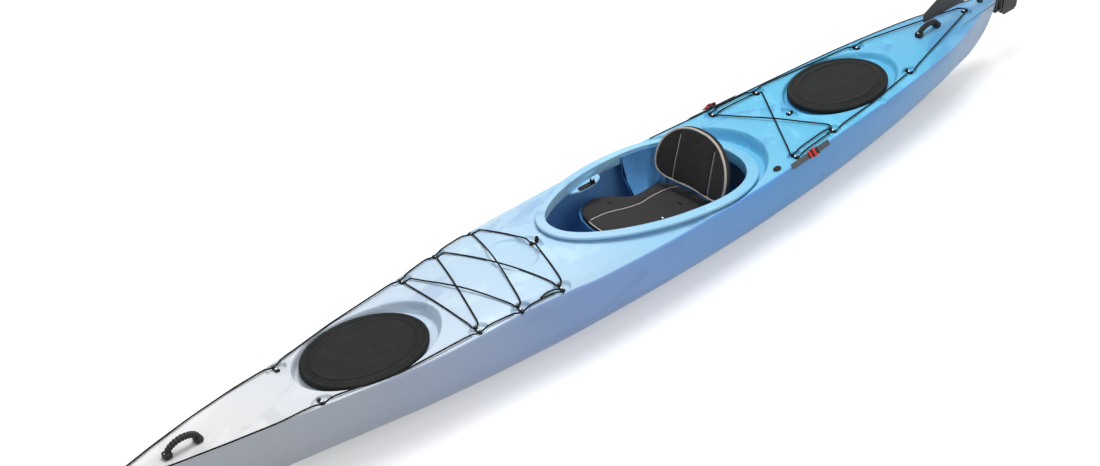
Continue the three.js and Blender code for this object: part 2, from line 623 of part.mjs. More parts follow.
// The moulded hull and deck: one skin with the cockpit rim, hatch collars and pockets.
function hullShell() {
  const end = HULL.length / 2;
  const outside = cut(hullForm(0, -end, end, HULL.stations), ...deckPockets(0), ...scoops(0), drainNotch());
  const inside = cut(innerForm(HULL.wall), ...deckPockets(HULL.wall), ...scoops(HULL.wall));
  const roof = () => HULL.depth + HULL.halfBeam;
  const openings = Object.values(HATCHES).map((hatch) => {
    const inset = HATCH.skirtWall + HATCH.collarGap + HATCH.collarWall / 2;
    return ovalPlug(hatchOval(hatch, inset), () => hatch.floorZ - HATCH.openingDrop, roof, 0, HATCH.segments);
  });
  const mouthFloor = (x) => coamingZ(x) - COAMING.neckDepth - HULL.wall;
  openings.push(ovalPlug(COAMING.inner, mouthFloor, roof, 0, COAMING.segments, COAMING.neckWall / 2));
  openings.push(solid(skegSlot()));
  const skin = cut(outside, inside, ...openings);
  const collars = Object.values(HATCHES).map(hatchCollar);
  const hooks = Object.values(SIDES).map(thighHook);
  const guides = [...Object.values(SIDES).map(cableGuide), ...LIFT_SHARES.guides.map(lineGuide)];
  return unite(skin, coamingRing(), ...collars, ...hooks, ...guides);
}

// The hull's inside as a solid, drawn in from the skin by inset.
function innerForm(inset) {
  const end = HULL.length / 2 - HULL.solidEnds;
  return hullForm(inset, -end, end, HULL.innerStations);
}

const box = (long, wide, high, x, y, z) => moved(new THREE.BoxGeometry(long, wide, high), x, y, z);

// A groove through the port gunwale that drains the rear hatch well.
function drainNotch() {
  const { x, wellWide, floorZ } = HATCHES.rear;
  const y = wellWide + HULL.halfBeam / 2 - NOTCH.deep;
  const floor = floorZ + NOTCH.deep - HULL.wall;
  return solid(box(NOTCH.wide, HULL.halfBeam, HULL.depth, x - NOTCH.behindHatch, y, floor + HULL.depth / 2));
}

// The slot in the keel that the skeg swings through.
function skegSlot() {
  const long = SKEG.boxFrontX - SKEG.boxRearX - 2 * SKEG.boxWall;
  const wide = SKEG.thick + 2 * SKEG.boxClear;
  const x = (SKEG.boxFrontX + SKEG.boxRearX) / 2;
  return box(long, wide, SKEG.slotTop + OVERRUN, x, 0, (SKEG.slotTop - OVERRUN) / 2);
}

// The section of a cover over its hatch: the half width left inside each point, and its height
// over the cover's edge.
function coverSection(hatch) {
  const k = COVER_SHARES;
  const { crown, bead, beadHalf, edgeRound, lip, skirt, skirtWall, plate } = HATCH;
  const beadFrom = k.beadAt * hatch.wide;
  const beadTo = beadFrom + 2 * beadHalf;
  const round = beadHalf * k.beadRound;
  return [
    [hatch.wide * k.crownAt, crown * k.crownHigh],
    [beadFrom, crown * k.beadFoot],
    [beadFrom + round, crown * k.beadInner + bead],
    [beadTo - round, crown * k.beadOuter + bead],
    [beadTo, crown * k.beyondBead],
    [hatch.wide - edgeRound, 0],
    [hatch.wide - edgeRound * k.edge, -edgeRound * k.edge],
    [hatch.wide, -edgeRound],
    [hatch.wide - lip, -skirt * k.waist],
    [hatch.wide, -skirt * k.foot],
    [hatch.wide - lip, -skirt],
    [hatch.wide - skirtWall, -skirt],
    [hatch.wide - skirtWall, -plate],
    [hatch.wide * k.crownAt, -plate],
  ];
}

// A cover with a raised bead, whose skirt closes over the hatch's collar.
function hatchCover(hatch) {
  const top = hatchTop(hatch);
  const rings = [];
  for (const [radius, dz] of coverSection(hatch)) {
    const ring = [];
    for (let i = 0; i < HATCH.segments; i += 1) {
      const angle = (i / HATCH.segments) * 2 * Math.PI;
      const p = ovalPoint(hatchOval(hatch, hatch.wide - radius), angle, 0);
      ring.push(p.setZ(top(p.x) + dz));
    }
    rings.push(ring);
  }
  return loft(rings);
}

// A bulkhead cut to the hull's inside, with a moulded rib round its face.
function bulkhead(x) {
  const wide = 2 * HULL.halfBeam;
  const slab = (thick, at, inset) =>
    solid(box(thick, wide, wide, at, 0, wide / 2)).intersect(innerForm(inset));
  const plate = slab(BULKHEAD.thick, x, HULL.wall + BULKHEAD.gap);
  const ribX = x - (BULKHEAD.thick + BULKHEAD.ribHeight) / 2;
  const rib = slab(BULKHEAD.ribHeight, ribX, HULL.wall + BULKHEAD.ribInset);
  return geometryOf(cut(unite(plate, rib), ...scoops(HULL.wall + BULKHEAD.gap)));
}

// A closed cylinder between two points.
function rod(from, to, radius, sides = FACETS.rodSides) {
  const axis = new THREE.Vector3().subVectors(to, from);
  const body = new THREE.CylinderGeometry(radius, radius, axis.length(), sides);
  const drawnAlong = new THREE.Vector3(0, 1, 0);
  body.applyQuaternion(new THREE.Quaternion().setFromUnitVectors(drawnAlong, axis.clone().normalize()));
  return body.translate((from.x + to.x) / 2, (from.y + to.y) / 2, (from.z + to.z) / 2);
}
const vec = (x, y, z) => new THREE.Vector3(x, y, z);

// A deck fitting: a bar with an eye at each end and a bolt between them.
function fittingShape() {
  const top = FITTING.eyeHeight + FITTING.eyeRadius + FITTING.eyeWall;
  const foot = -FITTING.sink;
  const end = FITTING.half;
  const shoulder = FITTING.eyeAt - FITTING.eyeRadius;
  const outline = new THREE.Shape([
    [-end, foot], [end, foot], [end, FITTING.eyeHeight], [FITTING.eyeAt + FITTING.eyeWall, top],
    [shoulder + FITTING.eyeWall, top], [shoulder - FITTING.eyeWall, FITTING.eyeHeight],
    [FITTING.eyeWall - shoulder, FITTING.eyeHeight], [-shoulder - FITTING.eyeWall, top],
    [-FITTING.eyeAt - FITTING.eyeWall, top], [-end, FITTING.eyeHeight],
  ].map(([o, n]) => new THREE.Vector2(o, n)));
  for (const side of Object.values(SIDES)) {
    const eye = new THREE.Path();
    eye.absarc(side * FITTING.eyeAt, FITTING.eyeHeight, FITTING.eyeRadius, 0, 2 * Math.PI, true);
    outline.holes.push(eye);
  }
  const bar = new THREE.ExtrudeGeometry(outline, {
    depth: FITTING.thick, bevelEnabled: false, curveSegments: FACETS.holeSegments,
  });
  bar.translate(0, 0, -FITTING.thick / 2);
  // The outline was drawn across and up; stand it so that across is o, up is n and depth is a.
  bar.applyMatrix4(new THREE.Matrix4().makeBasis(vec(0, 1, 0), vec(0, 0, 1), vec(1, 0, 0)));
  const head = FITTING.eyeHeight + FITTING.boltHeight;
  const bolt = rod(vec(0, 0, foot), vec(0, 0, head), FITTING.bolt, FACETS.boltSides);
  return geometryOf(unite(solid(bar), solid(bolt)));
}

// Where a cord runs in and out of a fitting's eye. The outer eye is on the gunwale's side.
function eyePass(key, which, towards) {
  const frame = fittingFrames[key];
  const reach = FITTING.thick / 2 + FITTING.run;
  const crosswise = frame.side === 0;
  const across = (crosswise ? 1 : frame.side) * which * FITTING.eyeAt;
  const centre = frame.origin.clone()
    .addScaledVector(crosswise ? frame.a : frame.o, across)
    .addScaledVector(frame.n, FITTING.eyeHeight);
  const along = crosswise ? frame.o : frame.a;
  const enter = centre.clone().addScaledVector(along, -towards * reach);
  const leave = centre.clone().addScaledVector(along, towards * reach);
  return { enter, leave, centre, frame, along: along.clone().multiplyScalar(towards) };
}

// A point over the deck at which a cord of this radius rests.
function onDeck(x, y, radius, lift = 0) {
  return vec(x, y, deckZ(x, y) + radius + CORD.gap + lift);
}

// The points of a cord's leg between two ends, kept on or over the deck. A tight cord takes
// the shortest way over the crown, so it gains length along the hull evenly with its run over
// the skin. A crossing leg is lifted over the one below it.
function leg(from, to, radius, lift = 0) {
  const length = from.distanceTo(to);
  const count = Math.max(2, Math.round(length / CORD.step));
  const straight = [];
  const runs = [0];
  for (let i = 0; i <= count; i += 1) {
    const chord = from.clone().lerp(to, i / count);
    straight.push(chord.setZ(Math.max(chord.z, onDeck(chord.x, chord.y, radius).z)));
    if (i > 0) runs.push(runs[i - 1] + straight[i].distanceTo(straight[i - 1]));
  }
  return straight.slice(1, -1).map((p, i) => {
    const t = (i + 1) / count;
    const x = from.x + (to.x - from.x) * (runs[i + 1] / runs[count]);
    const chordZ = from.z + (to.z - from.z) * t;
    const rest = onDeck(x, p.y, radius, lift * Math.sin(Math.PI * t) ** 2);
    return rest.setZ(Math.max(rest.z, chordZ));
  });
}

// The point over the rim of a fitting's scoop that a cord passes on its way from an eye.
function overRim(frame, start, away, radius) {
  const point = start.clone();
  const { scoopFloorShare, scoopDeep, scoopHigh } = FITTING;
  const rimShare = scoopFloorShare + (1 - scoopFloorShare) * scoopDeep / (scoopDeep + scoopHigh);
  const long = FITTING.scoopLong * rimShare;
  const wide = FITTING.scoopWide * rimShare;
  for (let i = 0; i < CORD.rimSteps; i += 1) {
    const from = point.clone().sub(frame.origin);
    if (Math.hypot(from.dot(frame.a) / long, from.dot(frame.o) / wide) > 1) break;
    point.addScaledVector(away, CORD.rimStep);
  }
  return onDeck(point.x, point.y, radius, CORD.rimLift);
}

// Joins a list of passes through eyes by legs over the deck. Between an eye and its leg the
// cord has an elbow in the scoop and a point over the scoop's rim.
function laidCord(stops, radius, lifts = []) {
  const points = [];
  const bendAt = (pass, end, sign) => {
    const tip = sign > 0 ? pass.leave : pass.enter;
    const away = end.clone().sub(tip).setZ(0).normalize();
    const elbow = tip.clone().addScaledVector(pass.along, sign * CORD.elbow);
    const rim = overRim(pass.frame, elbow, away, radius);
    const towards = rim.clone().sub(elbow).normalize();
    return { elbow: elbow.addScaledVector(towards, CORD.elbow), rim };
  };
  stops.forEach((stop, i) => {
    const before = stops[i - 1];
    const after = stops[i + 1];
    const isEye = Boolean(stop.along);
    if (isEye && before) {
      const { elbow, rim } = bendAt(stop, before.leave || before, -1);
      points.push(rim, elbow);
    }
    if (isEye) {
      if (before) points.push(stop.enter);
      else points.push(stop.centre.clone().addScaledVector(stop.along, SOFT_GAP));
      if (after) points.push(stop.leave);
      else points.push(stop.centre.clone().addScaledVector(stop.along, -SOFT_GAP));
      if (after) {
        const { elbow, rim } = bendAt(stop, after.enter || after, 1);
        points.push(elbow, rim);
      }
    } else {
      points.push(stop);
    }
    if (after) {
      const from = points[points.length - 1];
      const to = after.along ? bendAt(after, from, -1).rim : after;
      points.push(...leg(from, to, radius, lifts[i] || 0));
    }
  });
  return cordAlong(points, radius);
}

// A path that passes exactly through its points, one step for each.
class PointPath extends THREE.CatmullRomCurve3 {
  getPointAt(u, target) {
    return this.getPoint(u, target);
  }

  getTangentAt(u, target) {
    return this.getTangent(u, target);
  }
}

// A round cord swept along a list of points.
function cordAlong(points, radius) {
  const section = new THREE.Shape();
  section.absarc(0, 0, radius, 0, 2 * Math.PI);
  return new THREE.ExtrudeGeometry(section, {
    steps: points.length - 1,
    extrudePath: new PointPath(points, false, 'centripetal'),
    curveSegments: CORD.segments,
  });
}

// The shock cord laced to and fro over the foredeck, a closed loop that starts in one eye.
function frontBungee() {
  const stops = [
    eyePass('f3_port', inner, toBow), eyePass('f2_starboard', inner, toBow),
    eyePass('f1_port', inner, toBow), eyePass('f1_starboard', inner, toStern),
    eyePass('f2_port', inner, toStern), eyePass('f3_starboard', inner, toStern),
    eyePass('foredeck_eye', outer, toPort), eyePass('f3_port', inner, toBow),
  ];
  return laidCord(stops, CORD.radius, [0, 0, 0, CORD.lift, CORD.lift, 0, 0]);
}

// The shock cord over the rear deck: a cross with a run along each side.
function rearBungee() {
  const stops = [
    eyePass('r1_port', inner, toBow), eyePass('r2_starboard', inner, toBow),
    eyePass('r1_starboard', inner, toBow), eyePass('r2_port', inner, toBow),
    eyePass('r1_port', inner, toBow),
  ];
  return laidCord(stops, CORD.radius, [0, 0, CORD.lift]);
}

// The safety line round the foredeck, out round the hatch and through the eye at the bow.
function frontLine() {
  const half = (side) => {
    const name = side > 0 ? 'port' : 'starboard';
    const run = side > 0 ? toStern : toBow;
    const eyes = ['f3', 'f2', 'f1'].map((key) => eyePass(`${key}_${name}`, outer, run));
    const hatch = HATCHES.front;
    const round = onDeck(hatch.x, side * (hatch.wellWide + CORD.besideWell), CORD.radius);
    const last = eyePass(`f0_${name}`, outer, run);
    const bend = BOW_LINE_SHARES.map(([along, out]) => {
      const x = alongHull(along);
      return onDeck(x, side * out * halfAt(x), CORD.radius);
    });
    return [...eyes, round, last, ...bend];
  };
  const stops = [...half(-1), eyePass('bow_eye', outer, toPort), ...half(1).reverse()];
  return laidCord(stops, CORD.radius);
}

// The safety line round the rear deck and through the eye at the stern.
function rearLine() {
  const half = (side) => {
    const name = side > 0 ? 'port' : 'starboard';
    const run = side > 0 ? toBow : toStern;
    const hatch = HATCHES.rear;
    const round = onDeck(hatch.x, side * (hatch.wellWide + CORD.besideWell), CORD.radius);
    const [r1, r2, r3] = ['r1', 'r2', 'r3'].map((key) => eyePass(`${key}_${name}`, outer, run));
    return [r1, r2, round, r3];
  };
  const stops = [...half(-1), eyePass('stern_eye', inner, toPort), ...half(1).reverse()];
  return laidCord(stops, CORD.radius);
}

// The thin line that lifts the rudder blade, along the starboard gunwale to its cleat.
function liftLine() {
  const points = [];
  const fromX = alongHull(LIFT_SHARES.from);
  const toX = alongHull(LIFT_SHARES.to);
  const count = Math.round((fromX - toX) / LIFT.step);
  for (let i = 0; i <= count; i += 1) {
    const x = fromX + (toX - fromX) * (i / count);
    const y = -Math.max(linesAt(x).half - LIFT.inboard, LIFT.endHalf);
    points.push(onDeck(x, y, LIFT.radius));
  }
  return cordAlong(points, LIFT.radius);
}

// A low guide moulded on the deck, with a slot through its foot for the thin line.
function lineGuide(along) {
  const x = alongHull(along);
  const frame = deckFrame(x, -(halfAt(x) - LIFT.inboard));
  const high = LIFT.guideHigh + HULL.wall;
  const bar = solid(box(LIFT.guideLong, LIFT.guideWide, high, 0, 0, high / 2 - HULL.wall));
  const passage = solid(box(2 * LIFT.guideLong, LIFT.slot, LIFT.slotHigh, 0, 0, LIFT.slotHigh / 2));
  return cut(bar, passage).transform(frame.matrix.elements);
}

const seatZ = (x) => SEAT.rearZ + SEAT.riseShare * (x - SEAT.rearX);

// The seat's outline seen from above, as a closed curve: broad at the hips and under the
// thighs, with a waist between them.
function seatOutline(grow) {
  const long = SEAT.frontX - SEAT.rearX;
  const half = SEAT_OUTLINE_SHARES.map(([along, across, width]) =>
    [SEAT.rearX + long * along, across * SEAT[width]]);
  const starboard = half.slice(1, -1).reverse().map(([x, y]) => [x, -y]);
  const curve = new THREE.CatmullRomCurve3([...half, ...starboard].map(([x, y]) => vec(x, y, 0)), true);
  const centre = vec(SEAT.rearX + long / 2, 0, 0);
  return curve.getPoints(SEAT.outlinePoints).slice(0, -1).map((p) => {
    const out = p.clone().sub(centre);
    const size = out.length();
    return centre.clone().addScaledVector(out, (size + grow) / size);
  });
}

// A body that follows the seat's outline through a list of [grow, height over the pan].
function seatLayers(layers) {
  return loft(layers.map(([grow, dz]) => seatOutline(grow).map((p) => p.setZ(seatZ(p.x) + dz))));
}

// One side wing of the seat, from the pan's edge up inside the cockpit rim.
function seatWing(side) {
  const rings = [];
  for (let i = 0; i <= SEAT.wingSteps; i += 1) {
    const x = SEAT.wingRearX + (SEAT.wingFrontX - SEAT.wingRearX) * (i / SEAT.wingSteps);
    const rimY = coamingHalf(x) - SEAT.wingClear;
    const rimZ = coamingZ(x) - SEAT.wingTopBelow;
    const rootZ = seatZ(x) + SEAT.thick / 2;
    const path = [
      [SEAT.waistHalf - SEAT.wingWall, rootZ], [SEAT.waistHalf + SEAT.wingBend, rootZ + SEAT.wingBend / 2],
      [rimY - SEAT.wingBend / 2, (rootZ + rimZ) / 2], [rimY, rimZ],
    ];
    const outside = path.map(([y, z]) => vec(x, side * y, z));
    const inside = path.map(([y, z], k) => {
      const inwards = k > 0 ? SEAT.wingWall : 0;
      const upwards = k < 2 ? SEAT.wingWall : 0;
      return vec(x, side * (y - inwards), z + upwards);
    });
    rings.push([...outside, ...inside.reverse()]);
  }
  return solid(loft(rings));
}

// Half the width of the cockpit opening at one place along it.
function coamingHalf(x) {
  const oval = COAMING.inner;
  const share = (x - oval.x) / oval.long;
  const c = Math.sign(share) * Math.abs(share) ** (oval.powerShare / 2);
  const s = Math.sqrt(1 - c * c);
  return oval.wide * s ** (2 / oval.powerShare) * (1 + oval.eggShare * c);
}

// The moulded seat: a tray with a raised rim, side wings and two feet that reach the hull floor.
function seatPan() {
  const tray = solid(seatLayers([[SEAT.lip, -SEAT.thick], [SEAT.lip, SEAT.lipHigh]]));
  const rim = SEAT.lip - SEAT.thick;
  const hollow = solid(seatLayers([[rim, 0], [rim, SEAT.lipHigh + OVERRUN]]));
  const room = innerForm(HULL.wall + SEAT.footGap);
  const feet = SEAT.feet.map((x) => {
    const top = seatZ(x) - SEAT.thick / 2;
    return solid(box(SEAT.footThick, SEAT.footWide, top, x, 0, top / 2)).intersect(room);
  });
  const sides = Object.values(SIDES);
  const moulding = cut(unite(tray, ...feet, ...sides.map(seatWing)), hollow);
  return geometryOf(unite(moulding, ...sides.map(backPost)));
}

// The seat cushion: crowned, with drawn-in sides and a channel along each seam.
function seatPad() {
  const { thick, gap, crown, drawIn, inset, seamIn, channel, channelDeep, middleIn } = PAD;
  const k = PAD_SHARES;
  return seatLayers([
    [-inset - drawIn, gap], [-inset, gap + thick * k.low], [-inset, thick * k.high], [-inset - drawIn, thick],
    [-seamIn + channel, thick + crown * k.seamCrown], [-seamIn, thick + crown * k.seamCrown - channelDeep],
    [-seamIn - channel, thick + crown * k.insideCrown], [-middleIn, thick + crown],
  ]);
}

// The backrest's outline across the kayak and up from its lower edge, drawn in by inset.
function backOutline(inset) {
  const points = BACK_OUTLINE_SHARES.map(([across, up]) => [across * BACK.half, up * BACK.top]);
  const other = points.slice(1, -1).reverse().map(([y, z]) => [-y, z]);
  const curve = new THREE.CatmullRomCurve3([...points, ...other].map(([y, z]) => vec(0, y, z)), true);
  const centre = vec(0, 0, BACK.top / 2);
  return curve.getPoints(BACK.outlinePoints).slice(0, -1).map((p) => {
    const out = p.clone().sub(centre);
    const size = out.length();
    return centre.clone().addScaledVector(out, (size - inset) / size);
  });
}

// A body of the backrest: layers of [inset, distance forward], curved round the sitter's back.
function backLayers(layers) {
  const wrap = (y) => BACK.wrap * (y / BACK.half) ** 2;
  return loft(layers.map(([inset, dx]) => backOutline(inset).map((p) => vec(dx + wrap(p.y), p.y, p.z))));
}

const backPlace = new THREE.Matrix4().makeTranslation(BACK.baseX, 0, BACK.baseZ)
  .multiply(new THREE.Matrix4().makeRotationY(-BACK.lean * Math.PI / 180));

// The stiff back of the backrest with the two straps that tie its foot to the seat.
function backrestShell() {
  const shell = solid(backLayers([
    [PAD.seamIn, 0], [PAD.drawIn, 0], [PAD.drawIn, BACK.shell], [PAD.seamIn, BACK.shell],
  ]));
  const straps = Object.values(SIDES).map((side) => {
    const y = side * BACK.strapY;
    const end = STRAP.width / 2;
    const web = box(BACK.strapThick, STRAP.width, BACK.strapHigh, BACK.strapFront, y, BACK.strapHigh / 2);
    return solid(web).add(solid(rod(vec(0, y - end, 0), vec(0, y + end, 0), BACK.hinge, FACETS.eyeSides)));
  });
  return geometryOf(unite(shell, ...straps));
}

// The backrest's cushion: drawn in at its edges and crowned towards its middle.
function backrestPad() {
  const { shell, gap, pad, crown } = BACK;
  return backLayers([
    [PAD.seamIn, shell + gap], [PAD.drawIn, shell + gap], [0, shell + pad * PAD_SHARES.backLow],
    [0, shell + pad * PAD_SHARES.backHigh], [PAD.drawIn, shell + pad], [PAD.seamIn, shell + pad + crown],
  ]);
}

// One post at the back of the seat that carries a strap of the backrest.
function backPost(side) {
  const top = BACK.baseZ - BACK.hinge - BACK.hingeGap;
  const footX = SEAT.rearX - SEAT.lip / 2;
  const ring = (x, z, thick) => [[-1, -1], [1, -1], [1, 1], [-1, 1]].map(([dx, dy]) =>
    vec(x + dx * thick / 2, side * BACK.strapY + dy * STRAP.width / 2, z));
  return solid(loft([
    ring(footX, SEAT.rearZ, BACK.postFoot), ring(footX, BACK.postKneeZ, BACK.postFoot),
    ring(BACK.baseX, top, BACK.postTop),
  ]));
}

// A closed round body turned about the vertical, from shares of its radius and its height.
function turned(shares, radius, high, sides) {
  const outline = [[0, 0], ...shares, [0, 1]].map(([r, h]) => new THREE.Vector2(r * radius, h * high));
  return new THREE.LatheGeometry(outline, sides).rotateX(Math.PI / 2);
}

// The clamp plate over a thigh hook, with a slot that the knob's stem runs in.
function bracePlate(side) {
  const outline = new THREE.Shape();
  const long = BRACE.long / 2;
  const wide = BRACE.wide / 2;
  outline.moveTo(-long + wide, -wide);
  outline.lineTo(long - wide, -wide);
  outline.absarc(long - wide, 0, wide, -Math.PI / 2, Math.PI / 2);
  outline.lineTo(-long + wide, wide);
  outline.absarc(-long + wide, 0, wide, Math.PI / 2, 1.5 * Math.PI);
  const plate = new THREE.ExtrudeGeometry(outline, {
    depth: BRACE.thick, bevelEnabled: false, curveSegments: FACETS.tabSegments,
  });
  return plate.translate(BRACE.x, side * BRACE.inY, BRACE.z + BRACE.gap);
}

// The round knob that clamps a thigh brace, standing on its plate.
function braceKnob(side) {
  const z = BRACE.z + BRACE.gap + BRACE.thick + BRACE.gap;
  const knob = turned(KNOB_SHARES, BRACE.knob, BRACE.knobHigh, FACETS.knobSides);
  return knob.translate(BRACE.x + BRACE.knobX, side * BRACE.inY, z);
}

// A toothed foot-brace rail on the hull's side, on two feet cut to the skin.
function footRail(side) {
  const y = FOOT.railY;
  const middle = side * (y - FOOT.railDeep / 2);
  const body = box(FOOT.railLong, FOOT.railDeep, FOOT.railHigh, FOOT.railX, middle, FOOT.z);
  const groove = box(
    FOOT.railLong - 2 * FOOT.endWall, FOOT.railDeep, FOOT.grooveHigh,
    FOOT.railX, side * (y - FOOT.railDeep - FOOT.grooveFloor), FOOT.z,
  );
  const room = innerForm(HULL.wall + FOOT.gap);
  const feet = [-1, 1].map((end) => {
    const x = FOOT.railX + end * (FOOT.railLong / 2 - FOOT.footLong / 2);
    const footY = side * (y + FOOT.footReach / 2 - FOOT.footLap);
    return solid(box(FOOT.footLong, FOOT.footReach, FOOT.railHigh, x, footY, FOOT.z)).intersect(room);
  });
  const teeth = [];
  for (let i = 0; i < FOOT.teeth; i += 1) {
    const x = FOOT.railX + (i - (FOOT.teeth - 1) / 2) * FOOT.pitch;
    teeth.push(solid(box(FOOT.tooth, FOOT.grooveFloor, FOOT.tooth, x, side * (y - FOOT.grooveFloor), FOOT.z)));
  }
  return geometryOf(unite(cut(solid(body), solid(groove)), ...feet, ...teeth));
}

// A foot pedal: a ribbed plate on a carriage that runs along the rail.
function footPedal(side) {
  const railInside = FOOT.railY - FOOT.railDeep - FOOT.gap;
  const carriage = box(
    FOOT.carriage, FOOT.carriageDeep, FOOT.railHigh, FOOT.pedalX,
    side * (railInside - FOOT.carriageDeep / 2), FOOT.z,
  );
  const tilt = FOOT.tilt * Math.PI / 180;
  const y = side * (railInside - FOOT.carriageDeep / 2 - FOOT.pedalWide / 2);
  const lean = (geometry) => solid(geometry.rotateY(tilt).translate(FOOT.pedalX, y, FOOT.z + FOOT.pedalUp));
  const plate = lean(new THREE.BoxGeometry(FOOT.pedalThick, FOOT.pedalWide, FOOT.pedalHigh));
  const ribs = [];
  for (let i = 0; i < FOOT.ribs; i += 1) {
    const z = (i - (FOOT.ribs - 1) / 2) * FOOT.pedalHigh / FOOT.ribs;
    const rib = box(FOOT.rib, FOOT.pedalWide * FOOT.ribWideShare, FOOT.rib, -FOOT.pedalThick / 2, 0, z);
    ribs.push(lean(rib));
  }
  return geometryOf(unite(solid(carriage), plate, ...ribs));
}

// The skeg's trunk: an open-bottomed box over the slot, cut to the hull floor.
function skegBox() {
  const x = (SKEG.boxFrontX + SKEG.boxRearX) / 2;
  const long = SKEG.boxFrontX - SKEG.boxRearX;
  const clear = SKEG.thick + 2 * SKEG.boxClear;
  const high = SKEG.boxTop + OVERRUN;
  const walls = solid(box(long, clear + 2 * SKEG.boxWall, high, x, 0, SKEG.boxTop - high / 2));
  const hollow = solid(box(long - 2 * SKEG.boxWall, clear, high, x, 0, SKEG.boxTop - SKEG.boxWall - high / 2));
  const bore = solid(rod(
    vec(SKEG.pivotX, -clear, SKEG.pivotZ), vec(SKEG.pivotX, clear, SKEG.pivotZ), SKEG.pin + SKEG.pinGap,
  ));
  return geometryOf(cut(walls.intersect(innerForm(HULL.wall + SOFT_GAP)), hollow, bore));
}

// A flat blade drawn from its side outline, with a bore for its pivot pin.
function bladeFrom(outline, thick, pivot, boreRadius) {
  const bevel = thick / 4;
  const blade = new THREE.ExtrudeGeometry(profileOf(outline), {
    depth: thick - 2 * bevel, bevelEnabled: true, bevelThickness: bevel, bevelSize: bevel,
    bevelOffset: -bevel, bevelSegments: 1,
  });
  blade.translate(0, 0, bevel - thick / 2).rotateX(Math.PI / 2);
  const [x, z] = pivot;
  return geometryOf(cut(solid(blade), solid(rod(vec(x, -thick, z), vec(x, thick, z), boreRadius))));
}

// Points of an arc in the blade's plane, from one angle to another.
function arc(cx, cz, radius, [from, to, count]) {
  const points = [];
  for (let i = 0; i <= count; i += 1) {
    const angle = Math.PI * (from + (to - from) * (i / count));
    points.push([cx + radius * Math.cos(angle), cz + radius * Math.sin(angle)]);
  }
  return points;
}

function skegBlade() {
  const { pivotX, pivotZ, long, wide, boss, tipZ, thick, pin, pinGap, tailRise } = SKEG;
  const tailX = pivotX - long;
  const tipRound = wide * SKEG.tipRoundShare;
  const nose = arc(pivotX, pivotZ, boss, SKEG_ARC_SHARES.nose);
  const tip = arc(tailX + wide / 2, tipZ + tipRound, tipRound, SKEG_ARC_SHARES.tip);
  const tail = arc(tailX + wide / 4, pivotZ + tailRise - wide / 4, wide / 4, SKEG_ARC_SHARES.tail);
  return bladeFrom([...nose, ...tip, ...tail], thick, [pivotX, pivotZ], pin + pinGap);
}

// The rudder blade as it lies stowed over the deck: round at its pivot, widest a third of the
// way out and narrow at its tip.
function rudderBlade() {
  const { pivotX, pivotZ, rootZ, tipX, tipWidth, width, thick, pinRadius, pinGap } = RUDDER;
  const root = pivotZ - rootZ;
  const shoulderX = pivotX + width * RUDDER.shoulderShare;
  const hub = arc(pivotX, pivotZ, root, RUDDER_ARC_SHARES.hub);
  const tip = arc(tipX - tipWidth / 4, rootZ + tipWidth / 4, tipWidth / 4, RUDDER_ARC_SHARES.tip);
  const outline = [
    ...hub, ...tip, [tipX, rootZ + tipWidth],
    [tipX - width * RUDDER.taperShare, rootZ + width * RUDDER.bellyShare],
    [shoulderX + width, rootZ + width], [shoulderX, rootZ + width * RUDDER.shoulderHighShare],
  ];
  return bladeFrom(outline, thick, [pivotX, pivotZ], pinRadius + pinGap);
}

const sideways = (shape, half) =>
  new THREE.ExtrudeGeometry(shape, { depth: 2 * half, bevelEnabled: false, curveSegments: FACETS.cheekSegments })
    .translate(0, 0, -half).rotateX(Math.PI / 2);
const profileOf = (points) => new THREE.Shape(points.map(([x, z]) => new THREE.Vector2(x, z)));

// The turning head: a sleeve on the pin, two cheeks for the blade and a yoke for the cables.
function rudderHead() {
  const r = RUDDER;
  const gap = r.thick / 2 + r.cheekGap;
  const half = gap + r.cheekWall;
  const backX = r.axisX - r.sleeve - r.webGap;
  const side = profileOf([
    [backX, r.headBottom + r.foot], [backX - r.foot, r.headBottom], [r.tailX + r.foot, r.headBottom],
    [r.tailX, r.headBottom + r.foot], [r.tailX, r.headTop], [r.pivotX - r.eyeWall, r.pivotZ],
    ...arc(r.pivotX, r.pivotZ, r.eyeWall, RUDDER_ARC_SHARES.eye), [backX, r.headTop],
  ]);
  const cheeks = solid(sideways(side, half));
  const slotHigh = r.pivotZ + r.eyeWall - r.headBottom + 2 * OVERRUN;
  const slotFront = backX - r.webThick;
  const slotLong = slotFront - r.tailX + OVERRUN;
  const slotZ = r.headBottom - OVERRUN + slotHigh / 2;
  const slot = solid(box(slotLong, 2 * gap, slotHigh, slotFront - slotLong / 2, 0, slotZ));
  const sleeve = solid(rod(vec(r.axisX, 0, r.sleeveLow), vec(r.axisX, 0, r.sleeveHigh), r.sleeve));
  const neckHigh = r.sleeveHigh - r.sleeveLow;
  const neck = solid(box(
    r.sleeve + r.webGap + r.webThick, half, neckHigh, (r.axisX + slotFront) / 2, 0, r.sleeveLow + neckHigh / 2,
  ));
  const yoke = solid(box(
    r.yokeLong, 2 * r.armHalf, r.armThick, r.axisX + r.yokeLong / 2 - r.yokeBack, 0, r.armZ + r.armThick / 2,
  ));
  const post = solid(box(
    r.webThick, 2 * half, r.armZ + r.armThick - r.headTop + r.armThick,
    slotFront + r.webThick / 2, 0, (r.armZ + r.armThick + r.headTop - r.armThick) / 2,
  ));
  const bore = solid(rod(
    vec(r.axisX, 0, r.headBottom), vec(r.axisX, 0, r.sleeveHigh + r.pinOver), r.pinRadius + r.pinGap,
  ));
  const bladeBore = solid(rod(
    vec(r.pivotX, -2 * half, r.pivotZ), vec(r.pivotX, 2 * half, r.pivotZ), r.pinRadius + r.pinGap,
  ));
  return geometryOf(cut(unite(cheeks, sleeve, neck, yoke, post), slot, bore, bladeBore));
}

